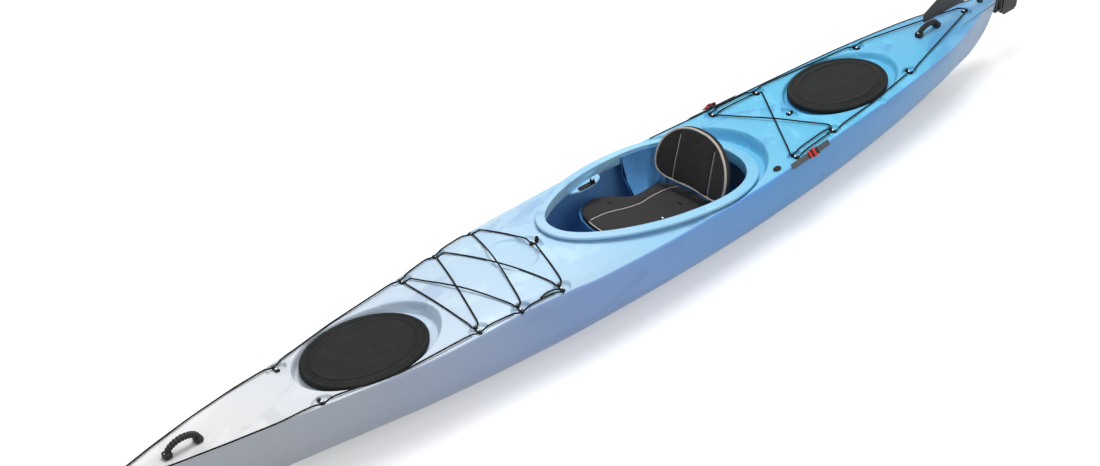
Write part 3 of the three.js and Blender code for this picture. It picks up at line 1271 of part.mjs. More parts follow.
// The bracket on the stern: a plate with a lug above and below the rudder head's sleeve.
function rudderBracket() {
  const r = RUDDER;
  const low = r.sleeveLow - r.lugGap;
  const high = r.sleeveHigh + r.lugGap;
  const sternX = -HULL.length / 2 - SOFT_GAP;
  const plateX = sternX - r.bracketWall / 2;
  const plate = solid(box(
    r.bracketWall, 2 * r.sleeve, high - low + 2 * r.lugHigh, plateX, 0, (high + low) / 2,
  ));
  const lugs = [[low - r.lugHigh, low], [high, high + r.lugHigh]].map(([from, to]) => {
    const ring = solid(rod(vec(r.axisX, 0, from), vec(r.axisX, 0, to), r.sleeve));
    const reach = sternX - r.axisX;
    return ring.add(solid(box(reach, 2 * r.sleeve, to - from, r.axisX + reach / 2, 0, (from + to) / 2)));
  });
  const bore = solid(rod(
    vec(r.axisX, 0, r.headBottom), vec(r.axisX, 0, high + 2 * r.lugHigh), r.pinRadius + r.pinGap,
  ));
  return geometryOf(cut(unite(plate, ...lugs), bore));
}

// A pin with a flat head at its first end.
function pin(from, to, radius, headRadius, headThick) {
  const axis = new THREE.Vector3().subVectors(to, from).normalize();
  const head = rod(from.clone().addScaledVector(axis, -headThick), from, headRadius);
  const stem = rod(from.clone().addScaledVector(axis, -headThick / 2), to, radius);
  return geometryOf(unite(solid(stem), solid(head)));
}

// Where one steering cable runs: from its guide on the deck to the yoke's arm.
function cableRun(side) {
  const z = RUDDER.armZ + RUDDER.armThick + CABLE.radius + CABLE.gap;
  const arm = vec(RUDDER.axisX, side * (RUDDER.armHalf - CABLE.eye), z);
  const [exitAlong, exitOut] = CABLE.exitShares;
  const exitX = alongHull(exitAlong);
  const exit = vec(exitX, side * exitOut * halfAt(exitX), z);
  return { arm, exit, along: exit.clone().sub(arm).normalize() };
}

// A steering cable with an eye over the yoke and a tail inside its guide.
function steeringCable(side) {
  const { arm, exit, along } = cableRun(side);
  const wire = rod(arm, exit.clone().addScaledVector(along, CABLE.tail), CABLE.radius, FACETS.wireSides);
  const foot = arm.clone().setZ(arm.z - CABLE.radius);
  const eye = rod(foot, arm.clone().setZ(arm.z + CABLE.radius), CABLE.eye, FACETS.eyeSides);
  return geometryOf(unite(solid(wire), solid(eye)));
}

// The guide that takes a steering cable through the deck: a tube on a foot.
function cableGuide(side) {
  const { exit, along } = cableRun(side);
  const end = exit.clone().addScaledVector(along, CABLE.guideLong);
  const tube = solid(rod(exit, end, CABLE.guide, FACETS.eyeSides));
  const middle = exit.clone().lerp(end, 0.5);
  const foot = deckZ(middle.x, middle.y) - HULL.wall / 2;
  const long = CABLE.guideLong * CABLE.footShare;
  const block = solid(box(long, CABLE.guide, middle.z - foot, middle.x, middle.y, (middle.z + foot) / 2));
  const mouth = exit.clone().addScaledVector(along, -OVERRUN);
  const floor = end.clone().addScaledVector(along, -CABLE.radius);
  const bore = solid(rod(mouth, floor, CABLE.radius + CABLE.gap, FACETS.wireSides));
  return cut(unite(tube, block), bore);
}

// A ribbed carrying handle that arches over the deck between two square feet.
function handle(place) {
  const middle = alongHull(place.alongShare);
  const base = (x) => Math.max(deckZ(x, 0), deckZ(x, HANDLE.footWide / 2)) + HANDLE.gap;
  const root = HANDLE.footHigh * HANDLE.rootShare;
  const points = [];
  const radii = [];
  const count = 2 * HANDLE.ribs;
  for (let i = 0; i <= count; i += 1) {
    const t = (i / count) * Math.PI;
    const x = middle + HANDLE.reach * Math.cos(t);
    points.push(vec(x, 0, base(x) + root + (place.rise - root) * Math.sin(t)));
    radii.push(HANDLE.radius - (i % 2 ? HANDLE.rib : 0));
  }
  const rings = points.map((p, i) => {
    const before = points[Math.max(i - 1, 0)];
    const next = points[Math.min(i + 1, count)];
    const along = next.clone().sub(before).normalize();
    const up = vec(-along.z, 0, along.x);
    const ring = [];
    for (let j = 0; j < HANDLE.sides; j += 1) {
      const angle = (j / HANDLE.sides) * 2 * Math.PI;
      const risen = p.clone().addScaledVector(up, radii[i] * Math.cos(angle));
      ring.push(risen.setY(radii[i] * Math.sin(angle)));
    }
    return ring;
  });
  const feet = [middle + HANDLE.reach, middle - HANDLE.reach].map((x) => {
    const z = base(x) + HANDLE.footLift + HANDLE.footHigh / 2;
    return solid(box(HANDLE.foot, HANDLE.footWide, HANDLE.footHigh, x, 0, z));
  });
  return geometryOf(unite(solid(loft(rings)), ...feet));
}

// The round screw plug over the stern's drain hole, with finger notches round its rim.
function drainPlug() {
  const x = alongHull(PLUG.alongShare);
  const outline = new THREE.Shape();
  for (let i = 0; i < 2 * PLUG.notches; i += 1) {
    const angle = (i / PLUG.notches) * Math.PI;
    const radius = PLUG.radius - (i % 2 ? PLUG.notch : 0);
    const p = [radius * Math.cos(angle), radius * Math.sin(angle)];
    if (i === 0) outline.moveTo(...p);
    else outline.lineTo(...p);
  }
  const cap = new THREE.ExtrudeGeometry(outline, { depth: PLUG.high, bevelEnabled: false });
  const grip = box(2 * PLUG.radius * PLUG.gripShare, PLUG.grip, PLUG.high, 0, 0, PLUG.high);
  return geometryOf(unite(solid(cap), solid(grip)).translate([x, 0, deckZ(x, 0) + PLUG.gap]));
}

// A point just off the gunwale's edge, and the way out from it.
function gunwaleEdge(x, side, off) {
  const l = linesAt(x);
  const out = vec(0, side * Math.SQRT1_2, Math.SQRT1_2);
  const across = vec(0, side * Math.SQRT1_2, -Math.SQRT1_2);
  return { at: vec(x, side * l.half, l.sheer).addScaledVector(out, off), out, across };
}

// A webbing strap laid along the gunwale from its bolt to its free end.
function gunwaleStrap(shares, side) {
  const rings = [];
  for (let i = 0; i <= STRAP.steps; i += 1) {
    const x = alongHull(shares.from + (shares.to - shares.from) * (i / STRAP.steps));
    const { at, out, across } = gunwaleEdge(x, side, STRAP.gap);
    const corner = (w, h) =>
      at.clone().addScaledVector(across, w * STRAP.width / 2).addScaledVector(out, h * STRAP.thick);
    rings.push([corner(-1, 0), corner(1, 0), corner(1, 1), corner(-1, 1)]);
  }
  return loft(rings);
}

// A block standing on the strap, drawn in its own frame: long, across, out.
function onGunwale(x, side, geometry) {
  const lift = STRAP.gap + STRAP.thick + BUCKLE.gap;
  const here = gunwaleEdge(x, side, lift);
  const next = gunwaleEdge(x + BUCKLE.long, side, lift);
  const along = next.at.clone().sub(here.at).normalize();
  const across = here.out.clone().cross(along).normalize();
  const out = along.clone().cross(across);
  return geometry.applyMatrix4(new THREE.Matrix4().makeBasis(along, across, out).setPosition(here.at));
}

// A side-release buckle's socket: a hollow shell, open at the end that the tongue enters.
function buckleBody(x, side) {
  const b = BUCKLE;
  const shell = solid(box(b.long, b.wide, b.high, 0, 0, b.high / 2));
  const mouth = solid(box(b.long, b.wide - 2 * b.wall, b.high - 2 * b.wall, 0, 0, b.high / 2));
  const windows = solid(box(b.long * b.windowShare, 2 * b.wide, b.high * b.windowShare, 0, 0, b.high / 2));
  return onGunwale(x, side, geometryOf(cut(shell, mouth.translate([b.wall, 0, 0]), windows)));
}

// The buckle's tongue: three prongs on a bar.
function buckleTongue(x, side) {
  const b = BUCKLE;
  const inside = b.high - 2 * b.wall - 2 * b.gap;
  const z = b.high / 2;
  const front = b.long / 2;
  const prongs = [-1, 0, 1].map((k) => {
    const y = k * (b.wide / 2 - b.wall - b.gap - b.prong / 2);
    const x = front - b.tongue / 2 + b.prong / 2 + b.gap;
    return solid(box(b.tongue + b.prong, b.prong, inside, x, y, z));
  });
  const bar = solid(box(b.bar, b.wide, b.high - 2 * b.wall, front + b.gap + b.bar / 2, 0, z));
  return onGunwale(x, side, geometryOf(unite(bar, ...prongs)));
}

// The oval jam cleat for the skeg's line, screwed to the port gunwale.
function skegCleat() {
  const x = alongHull(CLEAT.alongShare);
  const frame = deckFrame(x, CLEAT.outShare * halfAt(x));
  const dome = turned(CLEAT_OUTLINE_SHARES, CLEAT.long / 2, CLEAT.high, FACETS.domeSides)
    .scale(1, CLEAT.wide / CLEAT.long, 1);
  const jaw = box(CLEAT.long, CLEAT.jaw, CLEAT.high, 0, 0, CLEAT.high);
  return geometryOf(cut(solid(dome), solid(jaw)).translate([0, 0, CLEAT.gap]))
    .applyMatrix4(frame.matrix);
}

const hull = hullShell();
add('hull_deck_shell', geometryOf(hull), FINISH.hull);
add('front_bulkhead', bulkhead(BULKHEADS.front), FINISH.foam);
add('rear_bulkhead', bulkhead(BULKHEADS.rear), FINISH.foam);
add('front_hatch_cover', hatchCover(HATCHES.front), FINISH.rubber);
add('rear_hatch_cover', hatchCover(HATCHES.rear), FINISH.rubber);

const fitting = fittingShape();
for (const [key, frame] of Object.entries(fittingFrames)) {
  add(key.includes('eye') ? key : `deck_fitting_${key}`, fitting, FINISH.black, frame.matrix);
}
add('front_bungee', frontBungee(), FINISH.cord);
add('rear_bungee', rearBungee(), FINISH.cord);
add('front_deck_line', frontLine(), FINISH.cord);
add('rear_deck_line', rearLine(), FINISH.cord);
add('rudder_lift_line', liftLine(), FINISH.cord);

add('seat_pan', seatPan(), FINISH.lining);
add('seat_pad', seatPad(), FINISH.fabric);
add('backrest_shell', backrestShell(), FINISH.black, backPlace);
add('backrest_pad', backrestPad(), FINISH.fabric, backPlace);

for (const [name, side] of Object.entries(SIDES)) {
  add(`thigh_brace_plate_${name}`, bracePlate(side), FINISH.black);
  add(`thigh_brace_knob_${name}`, braceKnob(side), FINISH.black);
  add(`foot_rail_${name}`, footRail(side), FINISH.black);
  add(`foot_pedal_${name}`, footPedal(side), FINISH.black);
  add(`rudder_cable_${name}`, steeringCable(side), FINISH.steel);
  const buckleX = alongHull(STRAP_SHARES[name].buckle);
  add(`gunwale_strap_${name}`, gunwaleStrap(STRAP_SHARES[name], side), FINISH.webbing);
  add(`buckle_socket_${name}`, buckleBody(buckleX, side), FINISH.red);
  add(`buckle_tongue_${name}`, buckleTongue(buckleX, side), FINISH.black);
}

add('skeg_box', skegBox(), FINISH.lining);
add('skeg_blade', skegBlade(), FINISH.black);
const skegHalf = SKEG.thick / 2 + SKEG.boxClear + SKEG.boxWall + SKEG.pinGap;
add('skeg_pin', pin(
  vec(SKEG.pivotX, -skegHalf, SKEG.pivotZ), vec(SKEG.pivotX, skegHalf, SKEG.pivotZ),
  SKEG.pin, SKEG.pinHead, SKEG.pinHeadThick,
), FINISH.steel);
add('skeg_cleat', skegCleat(), FINISH.black);

add('rudder_bracket', rudderBracket(), FINISH.steel);
const lugTop = RUDDER.sleeveHigh + RUDDER.lugGap + RUDDER.lugHigh + RUDDER.pinGap;
const lugFoot = RUDDER.sleeveLow - RUDDER.lugGap - RUDDER.lugHigh - RUDDER.pinHeadThick;
add('rudder_pin', pin(
  vec(RUDDER.axisX, 0, lugTop), vec(RUDDER.axisX, 0, lugFoot),
  RUDDER.pinRadius, RUDDER.pinHead, RUDDER.pinHeadThick,
), FINISH.steel);
add('rudder_head', rudderHead(), FINISH.grey);
const cheekHalf = RUDDER.thick / 2 + RUDDER.cheekGap + RUDDER.cheekWall + RUDDER.pinGap;
add('rudder_blade_pin', pin(
  vec(RUDDER.pivotX, -cheekHalf, RUDDER.pivotZ), vec(RUDDER.pivotX, cheekHalf, RUDDER.pivotZ),
  RUDDER.pinRadius, RUDDER.pinHead, RUDDER.pinHeadThick,
), FINISH.steel);
add('rudder_blade', rudderBlade(), FINISH.grey);
for (const [name, place] of Object.entries(HANDLES)) add(name, handle(place), FINISH.black);
add('drain_plug', drainPlug(), FINISH.black);

export default kayak;
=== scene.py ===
"""Looks of a one-seat sea kayak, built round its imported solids. Metres, +X bow, +Y port, +Z up."""

import json
import logging
import math
from dataclasses import dataclass
from enum import Enum, IntEnum
from functools import reduce
from operator import add
from typing import Callable, Iterable, Sequence

import bmesh
import bpy
import numpy as np
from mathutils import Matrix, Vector


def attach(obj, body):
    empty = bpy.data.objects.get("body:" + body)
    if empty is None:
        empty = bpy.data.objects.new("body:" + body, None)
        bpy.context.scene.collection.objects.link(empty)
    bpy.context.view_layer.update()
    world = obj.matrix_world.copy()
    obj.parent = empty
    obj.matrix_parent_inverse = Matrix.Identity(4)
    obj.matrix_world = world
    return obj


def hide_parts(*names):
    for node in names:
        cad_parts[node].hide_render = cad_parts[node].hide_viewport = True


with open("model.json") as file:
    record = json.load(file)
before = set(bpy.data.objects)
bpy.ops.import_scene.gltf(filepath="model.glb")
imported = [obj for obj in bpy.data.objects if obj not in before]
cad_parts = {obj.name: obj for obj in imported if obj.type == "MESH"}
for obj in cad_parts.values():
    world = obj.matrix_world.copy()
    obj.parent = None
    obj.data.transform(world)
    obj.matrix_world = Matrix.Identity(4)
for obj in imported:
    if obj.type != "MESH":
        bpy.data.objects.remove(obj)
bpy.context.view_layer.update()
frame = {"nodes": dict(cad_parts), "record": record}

logging.basicConfig(level=logging.INFO, format="%(message)s")
LOG = logging.getLogger("kayak")

TURN = 2 * math.pi


class Side(Enum):
    """The two sides of the kayak, as the sign of y."""

    PORT = 1
    STARBOARD = -1

    @property
    def word(self) -> str:
        """The side's name in lower case, as nodes use it."""
        return self.name.lower()


# Shader maths.


class Wire:
    """A number on its way through a material. Sums on it add Math nodes."""

    def __init__(self, nodes: "Nodes", socket: bpy.types.NodeSocket) -> None:
        """Keeps the node builder and the output socket."""
        self.nodes = nodes
        self.socket = socket

    def _sum(self, operation: str, *values: "Wire | float") -> "Wire":
        """Adds one Math node. Args: operation and its inputs. Returns: its output."""
        node = self.nodes.node("ShaderNodeMath", {"operation": operation}, dict(enumerate(values)))
        return Wire(self.nodes, node.outputs[0])

    def __add__(self, other: "Wire | float") -> "Wire":
        """self + other."""
        return self._sum("ADD", self, other)

    __radd__ = __add__

    def __mul__(self, other: "Wire | float") -> "Wire":
        """self * other."""
        return self._sum("MULTIPLY", self, other)

    __rmul__ = __mul__

    def sin(self) -> "Wire":
        """Sine of self in radians."""
        return self._sum("SINE", self)

    def high(self, other: "Wire | float") -> "Wire":
        """The larger of self and other."""
        return self._sum("MAXIMUM", self, other)

    def between(self, low: float, high: float) -> "Wire":
        """0 below low, 1 above high and a smooth rise between them."""
        node = self.nodes.node(
            "ShaderNodeMapRange",
            {"interpolation_type": "SMOOTHSTEP"},
            {"Value": self, "From Min": low, "From Max": high},
        )
        return Wire(self.nodes, node.outputs["Result"])


Colour = tuple[float, float, float]
Stops = Sequence[tuple[float, Sequence[float]]]


def linear(red: int, green: int, blue: int) -> Colour:
    """Turns a screen colour of 0 to 255 a channel into linear light.

    Args: the three channels. Returns: the linear colour.
    """
    share = np.array([red, green, blue]) / 255
    light = np.where(share <= 0.04045, share / 12.92, ((share + 0.055) / 1.055) ** 2.4)
    return tuple(float(v) for v in light)


class Nodes:
    """Adds nodes to one node tree."""

    def __init__(self, tree: bpy.types.NodeTree) -> None:
        """Keeps the tree."""
        self.tree = tree

    def node(self, kind: str, settings: dict, values: dict) -> bpy.types.Node:
        """Adds a node.

        Args: its type, settings that are made first, and each socket's value or link.
        Returns: the node.
        """
        made = self.tree.nodes.new(kind)
        for key, value in settings.items():
            setattr(made, key, value)
        for key, value in values.items():
            self.feed(made.inputs[key], value)
        return made

    def feed(self, socket: bpy.types.NodeSocket, value: object) -> None:
        """Sets a socket, or links it where the value is a wire or an output."""
        if isinstance(value, Wire):
            value = value.socket
        if isinstance(value, bpy.types.NodeSocket):
            self.tree.links.new(value, socket)
        elif socket.type == "RGBA" and not isinstance(value, (int, float)):
            socket.default_value = (*value[:3], 1.0)
        else:
            socket.default_value = value

    def blend(self, share: Wire | float, first: object, second: object) -> bpy.types.NodeSocket:
        """Mixes two colours. Args: share of the second, and both. Returns: the colour."""
        factor, one, two, mixed = 0, 6, 7, 2
        made = self.node("ShaderNodeMix", {"data_type": "RGBA"}, {factor: share, one: first, two: second})
        return made.outputs[mixed]

    def seen(self) -> Wire:
        """Returns: 1 for what the camera sees, itself or in metal or glass, and 0 for light on the kayak."""
        path = self.node("ShaderNodeLightPath", {}, {})
        seen = Wire(self, path.outputs["Is Camera Ray"])
        for ray in ("Is Glossy Ray", "Is Transmission Ray"):
            seen = seen.high(Wire(self, path.outputs[ray]))
        return seen


class Dye(Nodes):
    """Builds one material's nodes."""

    def __init__(self, name: str) -> None:
        """Starts an empty material with a shader and its output."""
        self.material = bpy.data.materials.new(name)
        self.material.use_nodes = True
        super().__init__(self.material.node_tree)
        self.tree.nodes.clear()
        self.shader = self.node("ShaderNodeBsdfPrincipled", {}, {})
        self.node("ShaderNodeOutputMaterial", {}, {"Surface": self.shader.outputs[0]})

    def coordinates(self, scale: Colour = (1, 1, 1), turn: float = 0.0) -> bpy.types.NodeSocket:
        """Object coordinates, stretched by scale and turned about Z by an angle in radians."""
        place = self.node("ShaderNodeTexCoord", {}, {})
        mapping = self.node(
            "ShaderNodeMapping",
            {},
            {"Vector": place.outputs["Object"], "Scale": scale, "Rotation": (0, 0, turn)},
        )
        return mapping.outputs[0]

    def uv(self) -> bpy.types.NodeSocket:
        """The piece's own UV coordinates."""
        return self.node("ShaderNodeUVMap", {"uv_map": "UVMap"}, {}).outputs[0]

    def axes(self, vector: bpy.types.NodeSocket) -> tuple[Wire, Wire, Wire]:
        """Splits a vector. Args: the vector. Returns: its three numbers."""
        split = self.node("ShaderNodeSeparateXYZ", {}, {"Vector": vector})
        return tuple(Wire(self, split.outputs[i]) for i in range(3))

    def noise(self, vector: bpy.types.NodeSocket, scale: float, detail: float = 3, twist: float = 0) -> Wire:
        """Smooth noise. Args: where, how fine, its octaves and distortion. Returns: 0 to 1."""
        fed = {"Vector": vector, "Scale": scale, "Detail": detail, "Distortion": twist}
        return Wire(self, self.node("ShaderNodeTexNoise", {}, fed).outputs["Fac"])

    def ramp(self, at: Wire, stops: Stops) -> bpy.types.NodeSocket:
        """A colour that runs through stops. Args: where, and the stops. Returns: the colour."""
        made = self.node("ShaderNodeValToRGB", {}, {"Fac": at})
        elements = made.color_ramp.elements
        while len(elements) < len(stops):
            elements.new(0.5)
        for element, (place, colour) in zip(elements, stops):
            element.position = place
            element.color = (*colour, 1)
        return made.outputs["Color"]

    def bump(self, height: Wire, strength: float, distance: float) -> None:
        """Feeds the shader's normal from a height in shares of distance."""
        made = self.node("ShaderNodeBump", {}, {"Height": height, "Strength": strength, "Distance": distance})
        self.feed(self.shader.inputs["Normal"], made.outputs[0])

    def finish(self, **values: object) -> bpy.types.Material:
        """Sets the shader's sockets by name, with _ for a space, and gives the material."""
        for key, value in values.items():
            self.feed(self.shader.inputs[key.replace("_", " ")], value)
        return self.material


@dataclass(frozen=True)
class Patches:
    """Where a second colour lies: stretched noise, cut off between two levels."""

    stretch: Colour
    turn: float
    scale: float
    twist: float
    ragged: float
    edge: tuple[float, float]

    def mask(self, dye: Dye, grain: Wire) -> Wire:
        """1 inside a patch and 0 outside. Args: the builder and what frays the edges. Returns: the mask."""
        cloud = dye.noise(dye.coordinates(self.stretch, self.turn), self.scale, 5.0, self.twist)
        return (cloud + grain * self.ragged).between(*self.edge)


@dataclass(frozen=True)
class MarbledHull:
    """Moulded plastic that runs from near white at the bow to blue at the stern, in cloudy patches, with
    painted shade on the hull's sides.
    """

    name: str
    has_painted_flank_shade: bool = False
    along: Stops = (
        (0.00, (128, 186, 226)), (0.07, (122, 186, 229)), (0.14, (102, 191, 232)), (0.30, (103, 196, 235)),
        (0.36, (118, 200, 237)), (0.44, (156, 213, 244)), (0.52, (164, 215, 246)), (0.60, (188, 222, 247)),
        (0.68, (204, 227, 247)), (0.79, (226, 234, 245)), (0.88, (240, 241, 243)), (1.00, (243, 243, 244)),
    )
    # Painted shade: the sides' colours along the hull, mostly darker and bluer than the deck's, stand in for
    # the shade that falls on the sides.
    side: Stops = (
        (0.00, (176, 206, 240)), (0.10, (150, 200, 250)), (0.18, (124, 190, 255)), (0.28, (110, 184, 255)),
        (0.36, (102, 180, 255)), (0.44, (116, 181, 255)), (0.52, (140, 188, 255)), (0.60, (154, 188, 250)),
        (0.68, (178, 200, 242)), (0.80, (204, 214, 232)), (1.00, (220, 224, 230)),
    )
    patch: Stops = (
        (0.00, (70, 140, 206)), (0.30, (74, 142, 212)), (0.50, (104, 150, 216)), (0.66, (150, 176, 222)),
        (0.82, (206, 210, 222)), (1.00, (224, 222, 220)),
    )
    deep: Patches = Patches((1.0, 2.1, 2.6), 0.5, 2.3, 0.9, 0.1, (0.60, 0.66))
    deep_share: float = 0.40
    deep_share_on_side: float = 0.22
    pale: Patches = Patches((1.3, 2.0, 2.4), -0.4, 3.1, 1.2, 0.08, (0.60, 0.68))
    pale_share: float = 0.5
    paler_by: float = 22.0
    flank_shade_share: float = 0.9

    @staticmethod
    def run(dye: Dye, at: Wire, stops: Stops) -> bpy.types.NodeSocket:
        """A colour along the hull. Args: the builder, the place and screen colours. Returns: the colour."""
        return dye.ramp(at, [(share, linear(*colour)) for share, colour in stops])

    def make(self) -> bpy.types.Material:
        """Returns: the material, by place along the hull; its sides are where the piece's second UV is 1, and
        there it paints their shade with the flank colours.
        """
        dye = Dye(self.name)
        place = dye.coordinates()
        x, _, _ = dye.axes(place)
        at = x * (1 / LINES.length) + 0.5
        paler = [(share, np.minimum(np.add(colour, self.paler_by), 255)) for share, colour in self.along]
        runs = (self.along, self.patch, self.side, paler)
        base, deep, side, light = (self.run(dye, at, stops) for stops in runs)
        grain = dye.noise(place, 26, 4.0, 1.5)
        patches = self.deep.mask(dye, grain)
        colour = dye.blend(patches * self.deep_share, base, deep)
        colour = dye.blend(self.pale.mask(dye, grain) * self.pale_share, colour, light)
        # Painted shade: the flank colours are blended over the sides, with a crisp change at the gunwale
        # corner.
        if self.has_painted_flank_shade:
            _, flank, _ = dye.axes(dye.uv())
            side = dye.blend(patches * self.deep_share_on_side, side, deep)
            colour = dye.blend(flank.between(0.3, 0.7) * self.flank_shade_share, colour, side)
        dye.bump(dye.noise(place, 340, 2.0), 0.06, 0.0006)
        rough = dye.noise(place, 60, 2.0) * 0.10 + 0.30
        return dye.finish(
            Base_Color=colour, Roughness=rough, Coat_Weight=0.10, Coat_Roughness=0.15, Specular_IOR_Level=0.24
        )


@dataclass(frozen=True)
class Plastic:
    """Moulded plastic or rubber with a fine grain and slightly worn, paler patches."""

    name: str
    colour: Colour
    roughness: float = 0.45
    grain: float = 220.0
    depth: float = 0.0004
    wear: float = 0.25
    coat: float = 0.0
    specular: float = 0.35

    def make(self) -> bpy.types.Material:
        """Returns: the material."""
        dye = Dye(self.name)
        place = dye.coordinates()
        pale = tuple(min(1.0, c * 1.5 + 0.012) for c in self.colour)
        worn = dye.noise(place, 14, 4.0, 0.5).between(0.45, 0.75) * self.wear
        dye.bump(dye.noise(place, self.grain, 3.0), 0.35, self.depth)
        rough = dye.noise(place, 40, 3.0) * 0.16 + (self.roughness - 0.08)
        return dye.finish(
            Base_Color=dye.blend(worn, self.colour, pale), Roughness=rough, Coat_Weight=self.coat,
            Specular_IOR_Level=self.specular,
        )


@dataclass(frozen=True)
class Metal:
    """Polished or drawn steel with faint scratches."""

    name: str
    colour: Colour
    roughness: float = 0.2

    def make(self) -> bpy.types.Material:
        """Returns: the material."""
        dye = Dye(self.name)
        place = dye.coordinates((1, 6, 6))
        scratch = dye.noise(place, 90, 4.0)
        rough = scratch * 0.14 + (self.roughness - 0.05)
        dark = tuple(c * 0.82 for c in self.colour)
        return dye.finish(Base_Color=dye.blend(scratch, self.colour, dark), Roughness=rough, Metallic=1.0)


@dataclass(frozen=True)
class Weave:
    """Woven cloth or webbing: two crossed rows of threads on object coordinates."""

    name: str
    colour: Colour
    pitch: float = 0.0016
    sheen: float = 0.25
    roughness: float = 0.85

    def make(self) -> bpy.types.Material:
        """Returns: the material."""
        dye = Dye(self.name)
        place = dye.coordinates()
        x, y, z = dye.axes(place)
        step = TURN / self.pitch
        rows = (x * step).sin() * ((y + z) * step).sin()
        fuzz = dye.noise(place, 900, 2.0)
        cloud = dye.noise(place, 9, 3.0)
        pale = tuple(min(1.0, c * 1.55 + 0.008) for c in self.colour)
        dye.bump(rows * 0.5 + fuzz * 0.6, 0.5, self.pitch * 0.4)
        colour = dye.blend((rows * 0.25 + cloud * 0.5).between(0.0, 0.6) * 0.55, self.colour, pale)
        return dye.finish(
            Base_Color=colour, Roughness=self.roughness, Sheen_Weight=self.sheen, Sheen_Roughness=0.5,
            Specular_IOR_Level=0.2,
        )


@dataclass(frozen=True)
class Palette:
    """Every finish of the kayak, made once."""

    hull: bpy.types.Material
    trim: bpy.types.Material
    lining: bpy.types.Material
    seat: bpy.types.Material
    rubber: bpy.types.Material
    black: bpy.types.Material
    cord: bpy.types.Material
    cloth: bpy.types.Material
    piping: bpy.types.Material
    edging: bpy.types.Material
    webbing: bpy.types.Material
    steel: bpy.types.Material
    chrome: bpy.types.Material
    grey: bpy.types.Material
    red: bpy.types.Material
    foam: bpy.types.Material

    @classmethod
    def mix(cls) -> "Palette":
        """Returns: the palette."""
        return cls(
            hull=MarbledHull("marbled_skin", has_painted_flank_shade=True).make(),
            trim=MarbledHull("marbled_trim").make(),
            lining=Plastic("hull_inside", linear(112, 166, 220), 0.5, 160).make(),
            seat=Plastic("seat_plastic", linear(88, 150, 208), 0.4, 180, wear=0.3, coat=0.2).make(),
            rubber=Plastic("hatch_rubber", linear(26, 27, 27), 0.60, 420, 0.0003, 0.35, specular=0.16).make(),
            black=Plastic("black_plastic", linear(20, 21, 23), 0.42, 260, 0.0002).make(),
            cord=Weave("braided_cord", linear(12, 13, 15), 0.0024, 0.02).make(),
            cloth=Weave("cushion_cloth", linear(46, 43, 43), 0.0020, 0.12).make(),
            piping=Weave("cushion_piping", linear(196, 188, 178), 0.0018, 0.1).make(),
            edging=Weave("cushion_edging", linear(44, 38, 36), 0.0018, 0.1).make(),
            webbing=Weave("strap_webbing", linear(84, 88, 92), 0.0022, 0.15).make(),
            steel=Metal("cable_steel", (0.62, 0.63, 0.65), 0.28).make(),
            chrome=Metal("bolt_chrome", (0.86, 0.87, 0.88), 0.12).make(),
            grey=Plastic("rudder_plastic", linear(46, 42, 42), 0.45, 200, wear=0.3).make(),
            red=Plastic("buckle_red", linear(214, 54, 52), 0.35, 200, 0.0002, 0.15, 0.2).make(),
            foam=Plastic("bulkhead_foam", linear(120, 126, 132), 0.9, 500, 0.0008).make(),
        )


# Surfaces.


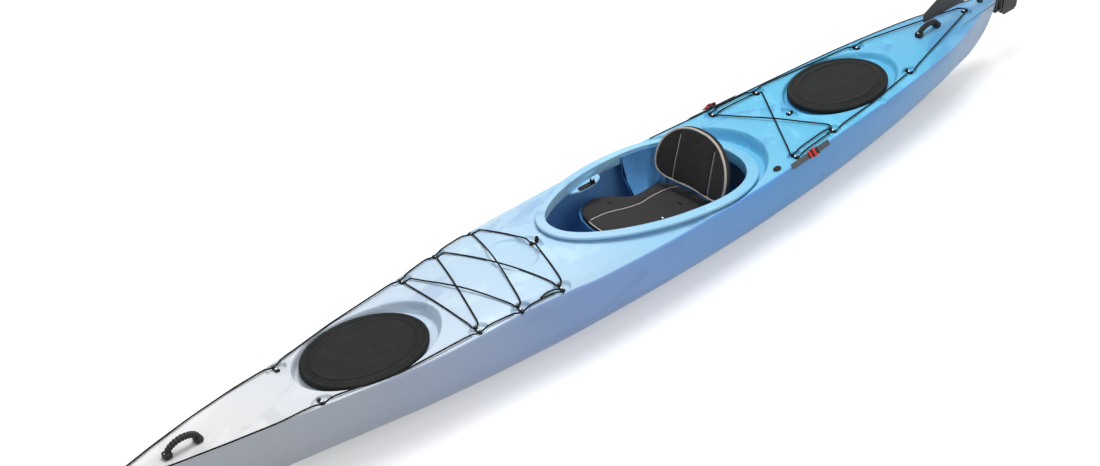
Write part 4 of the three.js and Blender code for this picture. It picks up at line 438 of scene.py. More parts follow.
class Sheet:
    """A mesh in the making: points and four-cornered faces as whole arrays."""

    def __init__(self, points: np.ndarray, faces: np.ndarray, uv: np.ndarray | None = None) -> None:
        """Args: points (n, 3), faces (m, 4) and one UV pair for each point."""
        self.points = points.reshape(-1, 3)
        self.faces = faces
        self.uv = np.zeros((len(self.points), 2)) if uv is None else uv.reshape(-1, 2)

    @classmethod
    def grid(
        cls, points: np.ndarray, round_u: bool = False, round_v: bool = False, keep: np.ndarray | None = None
    ) -> "Sheet":
        """Joins a grid of points by faces.

        Args: points (rows, columns, 3); whether the rows or the columns close on themselves;
        which faces to keep. Returns: the sheet, whose faces look along row x column.
        """
        rows, columns = points.shape[:2]
        index = np.arange(rows * columns).reshape(rows, columns)
        if round_u:
            index = np.vstack([index, index[:1]])
        if round_v:
            index = np.hstack([index, index[:, :1]])
        corners = np.stack([index[:-1, :-1], index[1:, :-1], index[1:, 1:], index[:-1, 1:]], axis=-1)
        if keep is not None:
            corners = corners[keep]
        u, v = np.meshgrid(np.linspace(0, 1, rows), np.linspace(0, 1, columns), indexing="ij")
        return cls(points, corners.reshape(-1, 4), np.stack([u, v], axis=-1))

    def __add__(self, other: "Sheet") -> "Sheet":
        """Both sheets as one."""
        return Sheet(
            np.vstack([self.points, other.points]),
            np.vstack([self.faces, other.faces + len(self.points)]),
            np.vstack([self.uv, other.uv]),
        )

    def flipped(self) -> "Sheet":
        """The same sheet with its faces looking the other way."""
        return Sheet(self.points, self.faces[:, ::-1], self.uv)

    def placed(self, change: Callable[[np.ndarray], np.ndarray]) -> "Sheet":
        """The sheet with its points moved. Args: a function of points. Returns: the new sheet."""
        return Sheet(change(self.points), self.faces, self.uv)

    def moved(self, by: Sequence[float]) -> "Sheet":
        """The sheet moved by a distance along each axis."""
        return Sheet(self.points + by, self.faces, self.uv)

    def object(
        self, name: str, finish: bpy.types.Material, sharp: float = 35.0, weld: bool = True
    ) -> bpy.types.Object:
        """Puts the sheet into Blender.

        Args: the piece's name, its finish, the angle in degrees past which an edge stays sharp,
        and whether seams and poles are closed. Returns: the object.
        """
        used, faces = np.unique(self.faces, return_inverse=True)
        faces = faces.reshape(self.faces.shape)
        points, uv = self.points[used], self.uv[used]
        mesh = bpy.data.meshes.new(name)
        mesh.vertices.add(len(points))
        mesh.vertices.foreach_set("co", points.astype(np.float32).ravel())
        mesh.loops.add(faces.size)
        mesh.loops.foreach_set("vertex_index", faces.astype(np.int32).ravel())
        mesh.polygons.add(len(faces))
        mesh.polygons.foreach_set("loop_start", np.arange(0, faces.size, 4, dtype=np.int32))
        layer = mesh.uv_layers.new(name="UVMap")
        layer.data.foreach_set("uv", uv[faces.ravel()].astype(np.float32).ravel())
        mesh.update(calc_edges=True)
        mesh.validate()
        if weld:
            work = bmesh.new()
            work.from_mesh(mesh)
            bmesh.ops.remove_doubles(work, verts=work.verts, dist=2e-6)
            bmesh.ops.dissolve_degenerate(work, edges=work.edges, dist=1e-7)
            work.to_mesh(mesh)
            work.free()
        mesh.polygons.foreach_set("use_smooth", np.ones(len(mesh.polygons), bool))
        mesh.set_sharp_from_angle(angle=math.radians(sharp))
        mesh.materials.append(finish)
        made = bpy.data.objects.new(name, mesh)
        bpy.context.scene.collection.objects.link(made)
        return made


def joined(sheets: Iterable[Sheet]) -> Sheet:
    """Several sheets as one."""
    return reduce(add, sheets)


def rounded(
    corners: Sequence[tuple[float, float]], radius: float, steps: int = 5, closed: bool = True
) -> np.ndarray:
    """Rounds a profile's corners: each is a curve between points at radius from it.

    Args: the corners, the radius, the steps of each round and whether the profile closes.
    Returns: the profile's points (n, 2).
    """
    p = np.array(corners, float)
    before, after = np.roll(p, 1, 0), np.roll(p, -1, 0)
    reach_in = np.minimum(radius, 0.45 * np.linalg.norm(before - p, axis=1))[:, None]
    reach_out = np.minimum(radius, 0.45 * np.linalg.norm(after - p, axis=1))[:, None]
    start = p + (before - p) / np.maximum(np.linalg.norm(before - p, axis=1), 1e-9)[:, None] * reach_in
    end = p + (after - p) / np.maximum(np.linalg.norm(after - p, axis=1), 1e-9)[:, None] * reach_out
    t = np.linspace(0, 1, steps)[None, :, None]
    curve = (1 - t) ** 2 * start[:, None] + 2 * t * (1 - t) * p[:, None] + t**2 * end[:, None]
    flat = curve.reshape(-1, 2)
    if closed:
        return flat
    return np.vstack([p[:1], flat[steps:-steps], p[-1:]])


def smooth_path(points: Sequence[Sequence[float]], count: int, closed: bool = False) -> np.ndarray:
    """A curve through points, by cubic pieces whose slope at a point is half the step across it.

    Args: the points, how many to give back and whether the curve closes.
    Returns: the curve's points, evenly spread in its parameter.
    """
    p = np.array(points, float)
    n = len(p)
    padded = np.vstack([p[-1:], p, p[:2]]) if closed else np.vstack([2 * p[0] - p[1], p, 2 * p[-1] - p[-2]])
    spans = n if closed else n - 1
    at = np.linspace(0, spans, count, endpoint=not closed)
    i = np.minimum(at.astype(int), spans - 1)
    t = (at - i)[:, None]
    a, b, c, d = (padded[i + k] for k in range(4))
    return 0.5 * (2 * b + (c - a) * t + (2 * a - 5 * b + 4 * c - d) * t**2 + (3 * b - a - 3 * c + d) * t**3)


def tube(path: np.ndarray, radius: float | np.ndarray, sides: int = 12, closed: bool = False) -> Sheet:
    """A round tube: at each point of the path a circle square to the path's direction.

    Args: the path (n, 3), its radius at all or each point, the circle's sides, and whether the
    path closes. Returns: the sheet, with its ends drawn to a point.
    """
    ahead = np.roll(path, -1, 0) - np.roll(path, 1, 0)
    if not closed:
        ahead[0], ahead[-1] = path[1] - path[0], path[-1] - path[-2]
    ahead /= np.linalg.norm(ahead, axis=1)[:, None]
    up = np.where(np.abs(ahead[:, 2:]) > 0.97, [[1.0, 0, 0]], [[0.0, 0, 1.0]])
    across = np.cross(up, ahead)
    across /= np.linalg.norm(across, axis=1)[:, None]
    high = np.cross(ahead, across)
    r = np.broadcast_to(np.asarray(radius, float), (len(path),))
    if not closed:
        path = np.vstack([path[:1], path, path[-1:]])
        across, high = (np.vstack([m[:1], m, m[-1:]]) for m in (across, high))
        r = np.concatenate([[0], r, [0]])
    angle = np.linspace(0, TURN, sides, endpoint=False)
    ring = across[:, None] * np.cos(angle)[None, :, None] + high[:, None] * np.sin(angle)[None, :, None]
    return Sheet.grid(path[:, None] + ring * r[:, None, None], round_u=closed, round_v=True).flipped()


def block(size: Sequence[float], power: float = 5.0, rows: int = 18) -> Sheet:
    """A soft-edged block: a ball's points pushed out so that |x|^p + |y|^p + |z|^p is one.

    Args: its full sizes, the power and the rows. Returns: the sheet, centred on the origin.
    """
    u = np.linspace(-math.pi / 2, math.pi / 2, rows)[:, None]
    v = np.linspace(0, TURN, 2 * rows, endpoint=False)[None, :]
    ball = np.stack([np.cos(u) * np.cos(v), np.cos(u) * np.sin(v), np.sin(u) * np.ones_like(v)], axis=-1)
    reach = (np.abs(ball) ** power).sum(-1, keepdims=True) ** (1 / power)
    return Sheet.grid(ball / reach * (np.array(size) / 2), round_v=True).flipped()


def body_of(node: str) -> str:
    """Returns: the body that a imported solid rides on."""
    return next(body for body, nodes in frame["record"]["behaviour"]["bodies"].items() if node in nodes)


def mount(piece: bpy.types.Object, body: str, slot: str, *nodes: str) -> bpy.types.Object:
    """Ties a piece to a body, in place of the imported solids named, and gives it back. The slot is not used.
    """
    if nodes:
        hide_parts(*nodes)
    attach(piece, body)
    LOG.info("  %s: %d faces", piece.name, len(piece.data.polygons))
    return piece


# Hull lines.


@dataclass(frozen=True)
class Oval:
    """A superellipse seen from above, fuller towards one end. Sizes in metres."""

    x: float
    a: float
    b: float
    egg: float = 0.0
    power: float = 2.0

    def grown(self, by: float) -> "Oval":
        """The same oval, larger all round."""
        return Oval(self.x, self.a + by, self.b + by, self.egg, self.power)

    def points(self, count: int) -> np.ndarray:
        """Its outline: x from |cos|^(2/p), y from |sin|^(2/p) widened by the egg share."""
        angle = np.linspace(0, TURN, count, endpoint=False)
        c, s = np.cos(angle), np.sin(angle)
        e = 2 / self.power
        x = self.x + self.a * np.sign(c) * np.abs(c) ** e
        y = self.b * np.sign(s) * np.abs(s) ** e * (1 + self.egg * c)
        return np.stack([x, y], axis=-1)

    def radius(self, x: np.ndarray, y: np.ndarray) -> np.ndarray:
        """How far out a point lies as a share: 1 on the outline."""
        u = (x - self.x) / self.a
        c = np.sign(u) * np.minimum(np.abs(u), 1) ** (self.power / 2)
        v = y / (self.b * (1 + self.egg * c))
        return (np.abs(u) ** self.power + np.abs(v) ** self.power) ** (1 / self.power)

    def distance(self, x: np.ndarray, y: np.ndarray) -> np.ndarray:
        """About how far a point lies outside the outline: its share past 1 over that share's slope."""
        h = 1e-4
        dx = (self.radius(x + h, y) - self.radius(x - h, y)) / (2 * h)
        dy = (self.radius(x, y + h) - self.radius(x, y - h)) / (2 * h)
        return (self.radius(x, y) - 1) / np.maximum(np.hypot(dx, dy), 0.5)


def smoothstep(low: float, high: float, value: np.ndarray) -> np.ndarray:
    """0 below low, 1 above high, and 3t^2 - 2t^3 between them."""
    t = np.clip((value - low) / (high - low), 0, 1)
    return t * t * (3 - 2 * t)


class Column(IntEnum):
    """The columns of the hull's table, past its stations: shares of the hull's sizes, then two powers."""

    HALF, SHEER, KEEL, CROWN, SIDE_POWER, DECK_POWER = range(1, 7)


@dataclass(frozen=True)
class HullLines:
    """The hull's shape: half breadth, sheer, keel and deck crown along its length."""

    length: float = 5.030
    half_beam: float = 0.303
    depth: float = 0.310
    wall: float = 0.007
    keel_half: float = 0.024
    flat_keel_share: float = 0.36
    stem_round: float = 0.012
    lining_drop: float = 1.5
    corner_from: float = 0.90
    corner_to: float = 0.985
    table: tuple = (
        (-1.0, 0.04, 1.105, 0.88, 1.12, 1.7, 0.55),
        (-0.975, 0.1, 1.1, 0.6, 1.122, 1.7, 0.55),
        (-0.945, 0.165, 1.093, 0.43, 1.124, 1.7, 0.55),
        (-0.91, 0.25, 1.085, 0.33, 1.126, 1.7, 0.55),
        (-0.86, 0.37, 1.073, 0.245, 1.118, 1.7, 0.55),
        (-0.795, 0.51, 1.06, 0.165, 1.1, 1.8, 0.55),
        (-0.64, 0.695, 1.04, 0.055, 1.085, 2.2, 0.55),
        (-0.44, 0.83, 1.025, 0.008, 1.055, 2.8, 0.55),
        (-0.3, 0.905, 1.008, 0.0, 1.03, 3.0, 0.55),
        (-0.2, 0.955, 1.003, 0.0, 1.06, 3.0, 0.55),
        (0.0, 1.0, 0.998, 0.0, 1.19, 2.8, 0.55),
        (0.17, 0.965, 1.006, 0.0, 1.262, 2.7, 0.5),
        (0.22, 0.925, 1.022, 0.0, 1.27, 2.75, 0.45),
        (0.3, 0.862, 1.045, 0.0, 1.235, 2.7, 0.42),
        (0.39, 0.804, 1.05, 0.008, 1.148, 2.48, 0.42),
        (0.48, 0.734, 1.05, 0.025, 1.105, 2.22, 0.45),
        (0.64, 0.54, 1.09, 0.11, 1.1, 1.92, 0.6),
        (0.795, 0.345, 1.132, 0.24, 1.076, 1.68, 0.8),
        (0.9, 0.195, 1.15, 0.39, 1.096, 1.7, 0.8),
        (0.96, 0.101, 1.16, 0.58, 1.135, 1.65, 0.8),
        (1.0, 0.035, 1.168, 0.9, 1.168, 1.5, 0.8),
    )

    def read(self, column: Column, x: np.ndarray) -> np.ndarray:
        """Reads one column along cubic pieces. Args: the column and the places. Returns: the values."""
        t = np.array(self.table)
        s = np.clip(np.asarray(x, float) / (self.length / 2), -1, 1)
        last = len(t) - 1
        i = np.clip(np.searchsorted(t[:, 0], s, side="right") - 1, 0, last - 1)
        k = np.arange(last + 1)
        a, b = np.maximum(k - 1, 0), np.minimum(k + 1, last)
        slope = (t[b, column] - t[a, column]) / (t[b, 0] - t[a, 0])
        span = t[i + 1, 0] - t[i, 0]
        u = (s - t[i, 0]) / span
        return (
            (2 * u**3 - 3 * u**2 + 1) * t[i, column] + (u**3 - 2 * u**2 + u) * span * slope[i]
            + (3 * u**2 - 2 * u**3) * t[i + 1, column] + (u**3 - u**2) * span * slope[i + 1]
        )

    def half(self, x: np.ndarray) -> np.ndarray:
        """Half breadth at the sheer, rounded off at both stems."""
        over = np.clip((np.abs(x) - (self.length / 2 - self.stem_round)) / self.stem_round, 0, 1)
        return self.read(Column.HALF, x) * self.half_beam * np.sqrt(1 - over**2)

    def sheer(self, x: np.ndarray, inset: float = 0.0) -> np.ndarray:
        """Height of the gunwale, or of the lining's edge, which lies more than its inset below it."""
        return self.read(Column.SHEER, x) * self.depth - self.lining_drop * inset

    def deck(self, x: np.ndarray, y: np.ndarray, inset: float = 0.0) -> np.ndarray:
        """Height of the bare deck: sheer plus crown times (1 - (y/half)^2), to the deck power."""
        half = np.maximum(self.half(x) - inset, 1e-4)
        sheer = self.sheer(x, inset)
        crown = self.read(Column.CROWN, x) * self.depth - inset
        power = self.read(Column.DECK_POWER, x)
        return sheer + (crown - sheer) * (1 - np.minimum((y / half) ** 2, 1)) ** power

    def cornered(self, x: np.ndarray, y: np.ndarray) -> np.ndarray:
        """The deck with a crisp corner: past a share of the half breadth it runs on straight."""
        s0, share = self.corner_from, np.abs(y) / np.maximum(self.half(x), 1e-4)
        rise = (self.read(Column.CROWN, x) - self.read(Column.SHEER, x)) * self.depth
        power = self.read(Column.DECK_POWER, x)
        level = rise * (1 - s0**2) ** power
        slope = -rise * power * 2 * s0 * (1 - s0**2) ** (power - 1)
        straight = self.sheer(x) + level + slope * (share - s0)
        bare = self.deck(x, y)
        sharp = bare + (straight - bare) * smoothstep(1.0, self.corner_to, share)
        return np.where((share > s0) & (rise > 0), sharp, bare)

    def keel(self, x: np.ndarray) -> np.ndarray:
        """Height of the keel strip, flat amidships."""
        flat = np.abs(x) < self.flat_keel_share * self.length / 2
        return np.where(flat, 0, np.maximum(self.read(Column.KEEL, x) * self.depth, 0))

    def side(self, x: np.ndarray, angle: np.ndarray, inset: float = 0.0) -> tuple[np.ndarray, np.ndarray]:
        """The section below the sheer: a superellipse from the sheer (angle 0) to the keel strip."""
        half = np.maximum(self.half(x) - inset, 1e-4)
        strip = np.minimum(self.keel_half, half / 3)
        sheer, keel = self.sheer(x, inset), self.keel(x) + inset
        power = 2 / self.read(Column.SIDE_POWER, x)
        y = strip + (half - strip) * np.maximum(np.cos(angle), 0) ** power
        return y, sheer - (sheer - keel) * np.sin(angle) ** power


LINES = HullLines()
COAMING_IN = Oval(-0.127, 0.513, 0.243, -0.25, 2.2)
COAMING_OUT = Oval(-0.140, 0.568, 0.284, -0.20, 2.13)
REAR_WELL = Oval(-0.150, 0.628, 0.300, -0.10, 2.1)
COMPASS = Oval(0.600, 0.105, 0.105)


def coaming_z(x: np.ndarray) -> np.ndarray:
    """Height of the cockpit rim's top plane."""
    return 0.360 + 0.105 * (x + 0.127)


def rear_floor_z(x: np.ndarray) -> np.ndarray:
    """Height of the sloped floor behind the cockpit."""
    return 0.264 + 0.1216 * (x + 0.708)


@dataclass(frozen=True)
class HatchPlace:
    """One hatch: its oval and top plane, and the well round it."""

    name: str
    oval: Oval
    top: float
    rise: float
    floor: float
    well: Oval

    def top_z(self, x: np.ndarray) -> np.ndarray:
        """Height of the cover's top plane."""
        return self.top + self.rise * (x - self.oval.x)


HATCH_PLACES = (
    HatchPlace("front", Oval(1.338, 0.268, 0.186), 0.331, 0.018, 0.300, Oval(1.326, 0.316, 0.193)),
    HatchPlace("rear", Oval(-1.356, 0.261, 0.187), 0.334, 0.004, 0.303, Oval(-1.374, 0.318, 0.194)),
)


@dataclass(frozen=True)
class DeckFrame:
    """A place on the deck: its origin and the directions along the hull, to port and outwards."""

    origin: np.ndarray
    along: np.ndarray
    port: np.ndarray
    out: np.ndarray

    @classmethod
    def at(cls, x: float, y: float) -> "DeckFrame":
        """Stands a frame on the bare deck. Args: the place. Returns: the frame."""
        step = LINES.wall
        dx = (LINES.deck(x + step, y) - LINES.deck(x - step, y)) / (2 * step)
        dy = (LINES.deck(x, y + step) - LINES.deck(x, y - step)) / (2 * step)
        out = np.array([-dx, -dy, 1.0], float)
        out /= np.linalg.norm(out)
        along = np.array([1.0, 0, 0]) - out * out[0]
        along /= np.linalg.norm(along)
        return cls(np.array([x, y, float(LINES.deck(x, y))]), along, np.cross(out, along), out)

    def turned(self) -> "DeckFrame":
        """The frame turned a quarter about its outward direction."""
        return DeckFrame(self.origin, self.port, -self.along, self.out)

    def place(self, points: np.ndarray) -> np.ndarray:
        """Carries local points (along, port, out) into the hull's frame."""
        return self.origin + points @ np.stack([self.along, self.port, self.out])

    def local(self, points: np.ndarray) -> np.ndarray:
        """The reverse of place."""
        return (points - self.origin) @ np.stack([self.along, self.port, self.out]).T


FITTING_PLACES = {
    "f0": (1.644, 0.128), "f1": (0.974, 0.212), "f2": (0.782, 0.236), "f3": (0.583, 0.251),
    "r1": (-0.797, 0.231), "r2": (-1.062, 0.214), "r3": (-1.669, 0.148),
}
EYE_PLACES = {"bow_eye": 2.420, "foredeck_eye": 0.486, "stern_eye": -2.268, "hatch_eye": -1.032}


def fitting_frames() -> dict[str, DeckFrame]:
    """Returns: the frame of every deck fitting, by its node's name."""
    frames = {}
    for key, (x, y) in FITTING_PLACES.items():
        for side in Side:
            frames[f"deck_fitting_{key}_{side.word}"] = DeckFrame.at(x, side.value * y)
    for key, x in EYE_PLACES.items():
        frames[key] = DeckFrame.at(x, 0).turned()
    return frames


FRAMES = fitting_frames()


def gunwale(side: Side, x: np.ndarray) -> tuple[np.ndarray, np.ndarray, np.ndarray]:
    """The gunwale's corner, and the directions down across it and out of it.

    Args: the side and the places along the hull. Returns: the points (n, 3) and both directions.
    """
    corner = np.column_stack([x, side.value * LINES.half(x), LINES.sheer(x)])
    across, out = np.array([0, side.value, -1.0]), np.array([0, side.value, 1.0])
    return corner, across / math.sqrt(2), out / math.sqrt(2)


@dataclass
class HullSkin:
    """The outer skin of hull and deck, in stretches along its length, and its blue lining."""

    palette: Palette
    pitch: float = 0.004
    deck_columns: int = 150
    side_columns: int = 34
    # The columns at the gunwale over which the painted side shade rises.
    corner_columns: tuple = (3.0, 2.0)
    ends: tuple = (-2.515, -1.76, -0.90, 0.25, 0.87, 1.72, 2.515)
    names: tuple = ("stern", "rear_deck", "cockpit_sides", "front_deck", "foredeck", "bow")
    pocket_past: float = 0.05
    pocket_lip: float = 0.003
    well_run: float = 0.012
    compass_deep: float = 0.010
    compass_run: float = 0.012
    notch_at: float = -1.398
    notch_half: float = 0.017
    notch_soft: float = 0.003
    notch_in: tuple = (-0.040, -0.026)
    notch_down: float = 0.08
    notch_deep: float = 0.009
    scoop_near: float = 0.07
    scoop_half: tuple = (0.048, 0.029)
    scoop_high: float = 0.009
    scoop_deep: float = 0.014
    scoop_floor: float = 0.76
    scoop_floor_round: float = 0.05
    mouth_clear: float = 0.005
    hatch_edge: float = 0.0175
    slot_ends: tuple = (-2.172, -1.700)
    slot_half: float = 0.0075
    slot_below: float = 0.12
    lining_half: float = 2.43
    lining_rows: int = 811
    lining_columns: tuple = (110, 24)

    def sunk(self, x: np.ndarray, y: np.ndarray, z: np.ndarray, wall: float = 0.0) -> np.ndarray:
        """Presses the wells, the tray and the scoops into the deck.

        A scoop is an oval cone frustum: its floor is a share of its mouth, and between them its
        height runs in step with how far out a point lies.

        Args: the deck's points, and how much larger and deeper the pockets are made, for the
        lining under them. Returns: their new heights.
        """
        tray = float(LINES.deck(COMPASS.x + COMPASS.a, 0)) - self.compass_deep
        pockets = [(REAR_WELL, rear_floor_z(x), self.well_run)]
        pockets += [(hatch.well, np.full_like(x, hatch.floor), self.well_run) for hatch in HATCH_PLACES]
        pockets += [(COMPASS, np.full_like(x, tray), self.compass_run)]
        bare = z
        for oval, floor, run in pockets:
            near = np.abs(x - oval.x) < oval.a + self.pocket_past
            share = np.ones_like(z)
            out = oval.grown(wall).distance(x[near], y[near])
            share[near] = smoothstep(-run, self.pocket_lip, out)
            low = floor - wall
            z = np.where(low < bare, np.minimum(z, low + (bare - low) * share), z)
        long, wide = self.scoop_half
        for place in FRAMES.values():
            off_x, off_y = np.abs(x - place.origin[0]), np.abs(y - place.origin[1])
            near = (off_x < self.scoop_near) & (off_y < self.scoop_near)
            local = place.local(np.stack([x[near], y[near], z[near]], axis=-1))
            reach = np.hypot(local[:, 0] / (long + wall), local[:, 1] / (wide + wall))
            climb = np.maximum(reach - self.scoop_floor, 0) / (1 - self.scoop_floor)
            soft = np.sqrt(climb**2 + self.scoop_floor_round**2) - self.scoop_floor_round
            cone = -self.scoop_deep - wall + (self.scoop_deep + self.scoop_high) * soft
            drop = np.maximum(local[:, 2] - cone, 0)
            z[near] -= drop / max(float(place.out[2]), 0.5)
        return z

    def ring(self, x: np.ndarray, deck: int, side: int, inset: float = 0.0) -> np.ndarray:
        """Sections of the hull, port sheer over the deck to starboard and back round the keel.

        A section's deck points lie at (t + sin(90 t)) / 2 of the half breadth, so they are
        closer together at the gunwales. A lining stays at least its inset under the skin.

        Args: the stations, the columns of the deck and of each side, and how far the skin is
        drawn in. Returns: the points.
        """
        t = np.linspace(1, -1, deck + 1)[:-1]
        across = 0.5 * t + 0.5 * np.sin(t * math.pi / 2)
        at = x[:, None] * np.ones_like(across)
        half = np.maximum(LINES.half(x) - inset, 1e-4)[:, None]
        y = half * across
        angle = np.linspace(0, math.pi / 2, side + 1)
        station = x[:, None] * np.ones_like(angle)
        low_y, low_z = LINES.side(station, angle[None, :], inset)
        if inset:
            z = self.sunk(at, y, LINES.deck(at, y, inset), inset)
            z = np.minimum(z, self.sunk(at, y, LINES.deck(at, y)) - inset)
            port_z = low_z
        else:
            z = self.sunk(at, y, LINES.cornered(at, y)) - self.notch(at, y, half)
            fade = smoothstep(self.notch_down, 0.0, angle)
            port_z = low_z - self.notch(station, low_y, half) * fade[None, :]
        top = np.stack([at, y, z], axis=-1)
        starboard = np.stack([station, -low_y, low_z], axis=-1)
        port = np.stack([station, low_y, port_z], axis=-1)[:, ::-1]
        return np.concatenate([top, starboard, port[:, :-1]], axis=1)

    def notch(self, x: np.ndarray, y: np.ndarray, half: np.ndarray) -> np.ndarray:
        """Depth of the drain notch through the port gunwale: a flat trough with short ends."""
        off = np.abs(x - self.notch_at)
        reach = smoothstep(self.notch_half + self.notch_soft, self.notch_half - self.notch_soft, off)
        return self.notch_deep * reach * smoothstep(*self.notch_in, y - half)

    def open_faces(self, ring: np.ndarray, deck: int) -> np.ndarray:
        """Which faces stay: not those over the cockpit mouth, the hatch openings and the skeg slot."""
        middle = 0.25 * (ring[:-1] + ring[1:] + np.roll(ring, -1, 1)[:-1] + np.roll(ring, -1, 1)[1:])
        x, y, z = middle[..., 0], middle[..., 1], middle[..., 2]
        on_deck = np.arange(ring.shape[1])[None, :] < deck
        keep = ~(on_deck & (COAMING_IN.grown(self.mouth_clear).radius(x, y) < 1))
        for hatch in HATCH_PLACES:
            keep &= ~(on_deck & (hatch.oval.grown(-self.hatch_edge).radius(x, y) < 1))
        start, stop = self.slot_ends
        slot = (np.abs(y) < self.slot_half) & (x > start) & (x < stop) & (z < self.slot_below)
        return keep & ~slot

    def build(self) -> None:
        """Builds every stretch and the lining."""
        for name, start, stop in zip(self.names, self.ends[:-1], self.ends[1:]):
            x = np.linspace(start, stop, int(round((stop - start) / self.pitch)) + 1)
            ring = self.ring(x, self.deck_columns, self.side_columns)
            sheet = Sheet.grid(ring, round_v=True, keep=self.open_faces(ring, self.deck_columns))
            if name == "stern":
                sheet = sheet + self.cap(ring[0], False)
            if name == "bow":
                sheet = sheet + self.cap(ring[-1], True)
            # The second UV carries the mask of where the material paints shade on the sides.
            sheet.uv[:, 1] = np.tile(self.flank(), len(sheet.uv) // ring.shape[1])
            piece = sheet.object(f"hull_{name}", self.palette.hull, 50.0)
            mount(piece, "hull", "hull_plastic", "hull_deck_shell")
        self.lining()

    def flank(self) -> np.ndarray:
        """Returns: 1 for each column on the sides or the rounded gunwale, 0 for those on the deck; where it
        is 1 the skin's material paints the sides' shade.
        """
        column = np.arange(self.deck_columns + 2 * self.side_columns + 1)
        return smoothstep(*self.corner_columns, np.minimum(column, self.deck_columns - column))

    @staticmethod
    def cap(end: np.ndarray, forward: bool) -> Sheet:
        """Closes a stem with a fan of faces to its middle."""
        middle = np.broadcast_to(end.mean(0), end.shape)
        rows = np.stack([end, middle]) if forward else np.stack([middle, end])
        return Sheet.grid(rows, round_v=True)

    def lining(self) -> None:
        """Builds the inside of the skin."""
        x = np.linspace(-self.lining_half, self.lining_half, self.lining_rows)
        deck, side = self.lining_columns
        ring = self.ring(x, deck, side, LINES.wall)
        sheet = Sheet.grid(ring, round_v=True, keep=self.open_faces(ring, deck)).flipped()
        lining = sheet.object("hull_lining", self.palette.lining, 50.0)
        mount(lining, "hull", "hull_plastic", "hull_deck_shell")


@dataclass
class Cockpit:
    """The cockpit rim with its turned-down lip, and the tabs under it that thighs hook under."""

    palette: Palette
    segments: int = 240
    neck: float = 0.052
    wall: float = 0.008
    fall: float = 0.0025
    drop: float = 0.006
    lip: float = 0.017
    lip_wall: float = 0.009
    edge_round: float = 0.004
    hook_half: float = 0.095
    hook_deep: float = 0.046
    hook_wall: float = 0.008
    hook_round: float = 0.0025
    hook_y: float = 0.230
    hook_root: float = 0.231
    hook_z: float = 0.330

    def ring(self) -> Sheet:
        """The rim: a section of (metres across, metres up) carried round it. Returns: the sheet."""
        wide = COAMING_OUT.b - COAMING_IN.b
        hem, tuck = wide - self.lip_wall * 0.4, wide - self.lip_wall * 0.6
        corners = [
            (0, 0), (wide * 0.5, -self.fall), (wide, -self.drop), (wide, -self.lip), (hem, -self.lip),
            (tuck, -self.drop - self.wall), (self.wall, -self.wall), (self.wall, -self.neck), (0, -self.neck),
        ]
        profile = rounded(corners, self.edge_round)
        near, far = COAMING_IN.points(self.segments), COAMING_OUT.points(self.segments)
        share = (profile[:, 0] / wide)[None, :, None]
        flat = near[:, None] * (1 - share) + far[:, None] * share
        z = coaming_z(flat[..., 0]) + profile[None, :, 1]
        return Sheet.grid(np.concatenate([flat, z[..., None]], axis=-1), round_u=True, round_v=True)

    def hook(self, side: Side) -> Sheet:
        """The tab under the rim: a half oval with a rounded edge. Returns: the sheet."""
        angle = np.linspace(0, math.pi, 60)
        x = self.hook_half * np.cos(angle)
        y = side.value * (self.hook_y - self.hook_deep * np.sin(angle) ** 0.8)
        rows = rounded([(0, 0), (1, 0), (1, -self.hook_wall), (0, -self.hook_wall)], self.hook_round)
        share = np.where(rows[:, 0] > 0.5, rows[:, 0], 0)
        middle = np.array([0, side.value * self.hook_root])
        flat = middle + (np.stack([x, y], axis=-1) - middle)[:, None] * share[None, :, None]
        z = np.broadcast_to(self.hook_z + rows[:, 1], flat.shape[:2])
        return Sheet.grid(np.concatenate([flat, z[..., None]], axis=-1), round_v=True)

    def build(self) -> None:
        """Builds the rim and the tabs."""
        rim = self.ring().flipped().object("cockpit_rim", self.palette.trim, 45.0)
        mount(rim, "hull", "hull_plastic", "hull_deck_shell")
        for side in Side:
            tab = self.hook(side) if side is Side.PORT else self.hook(side).flipped()
            made = tab.object(f"thigh_hook_{side.word}", self.palette.trim, 45.0)
            mount(made, "hull", "hull_plastic", "hull_deck_shell")


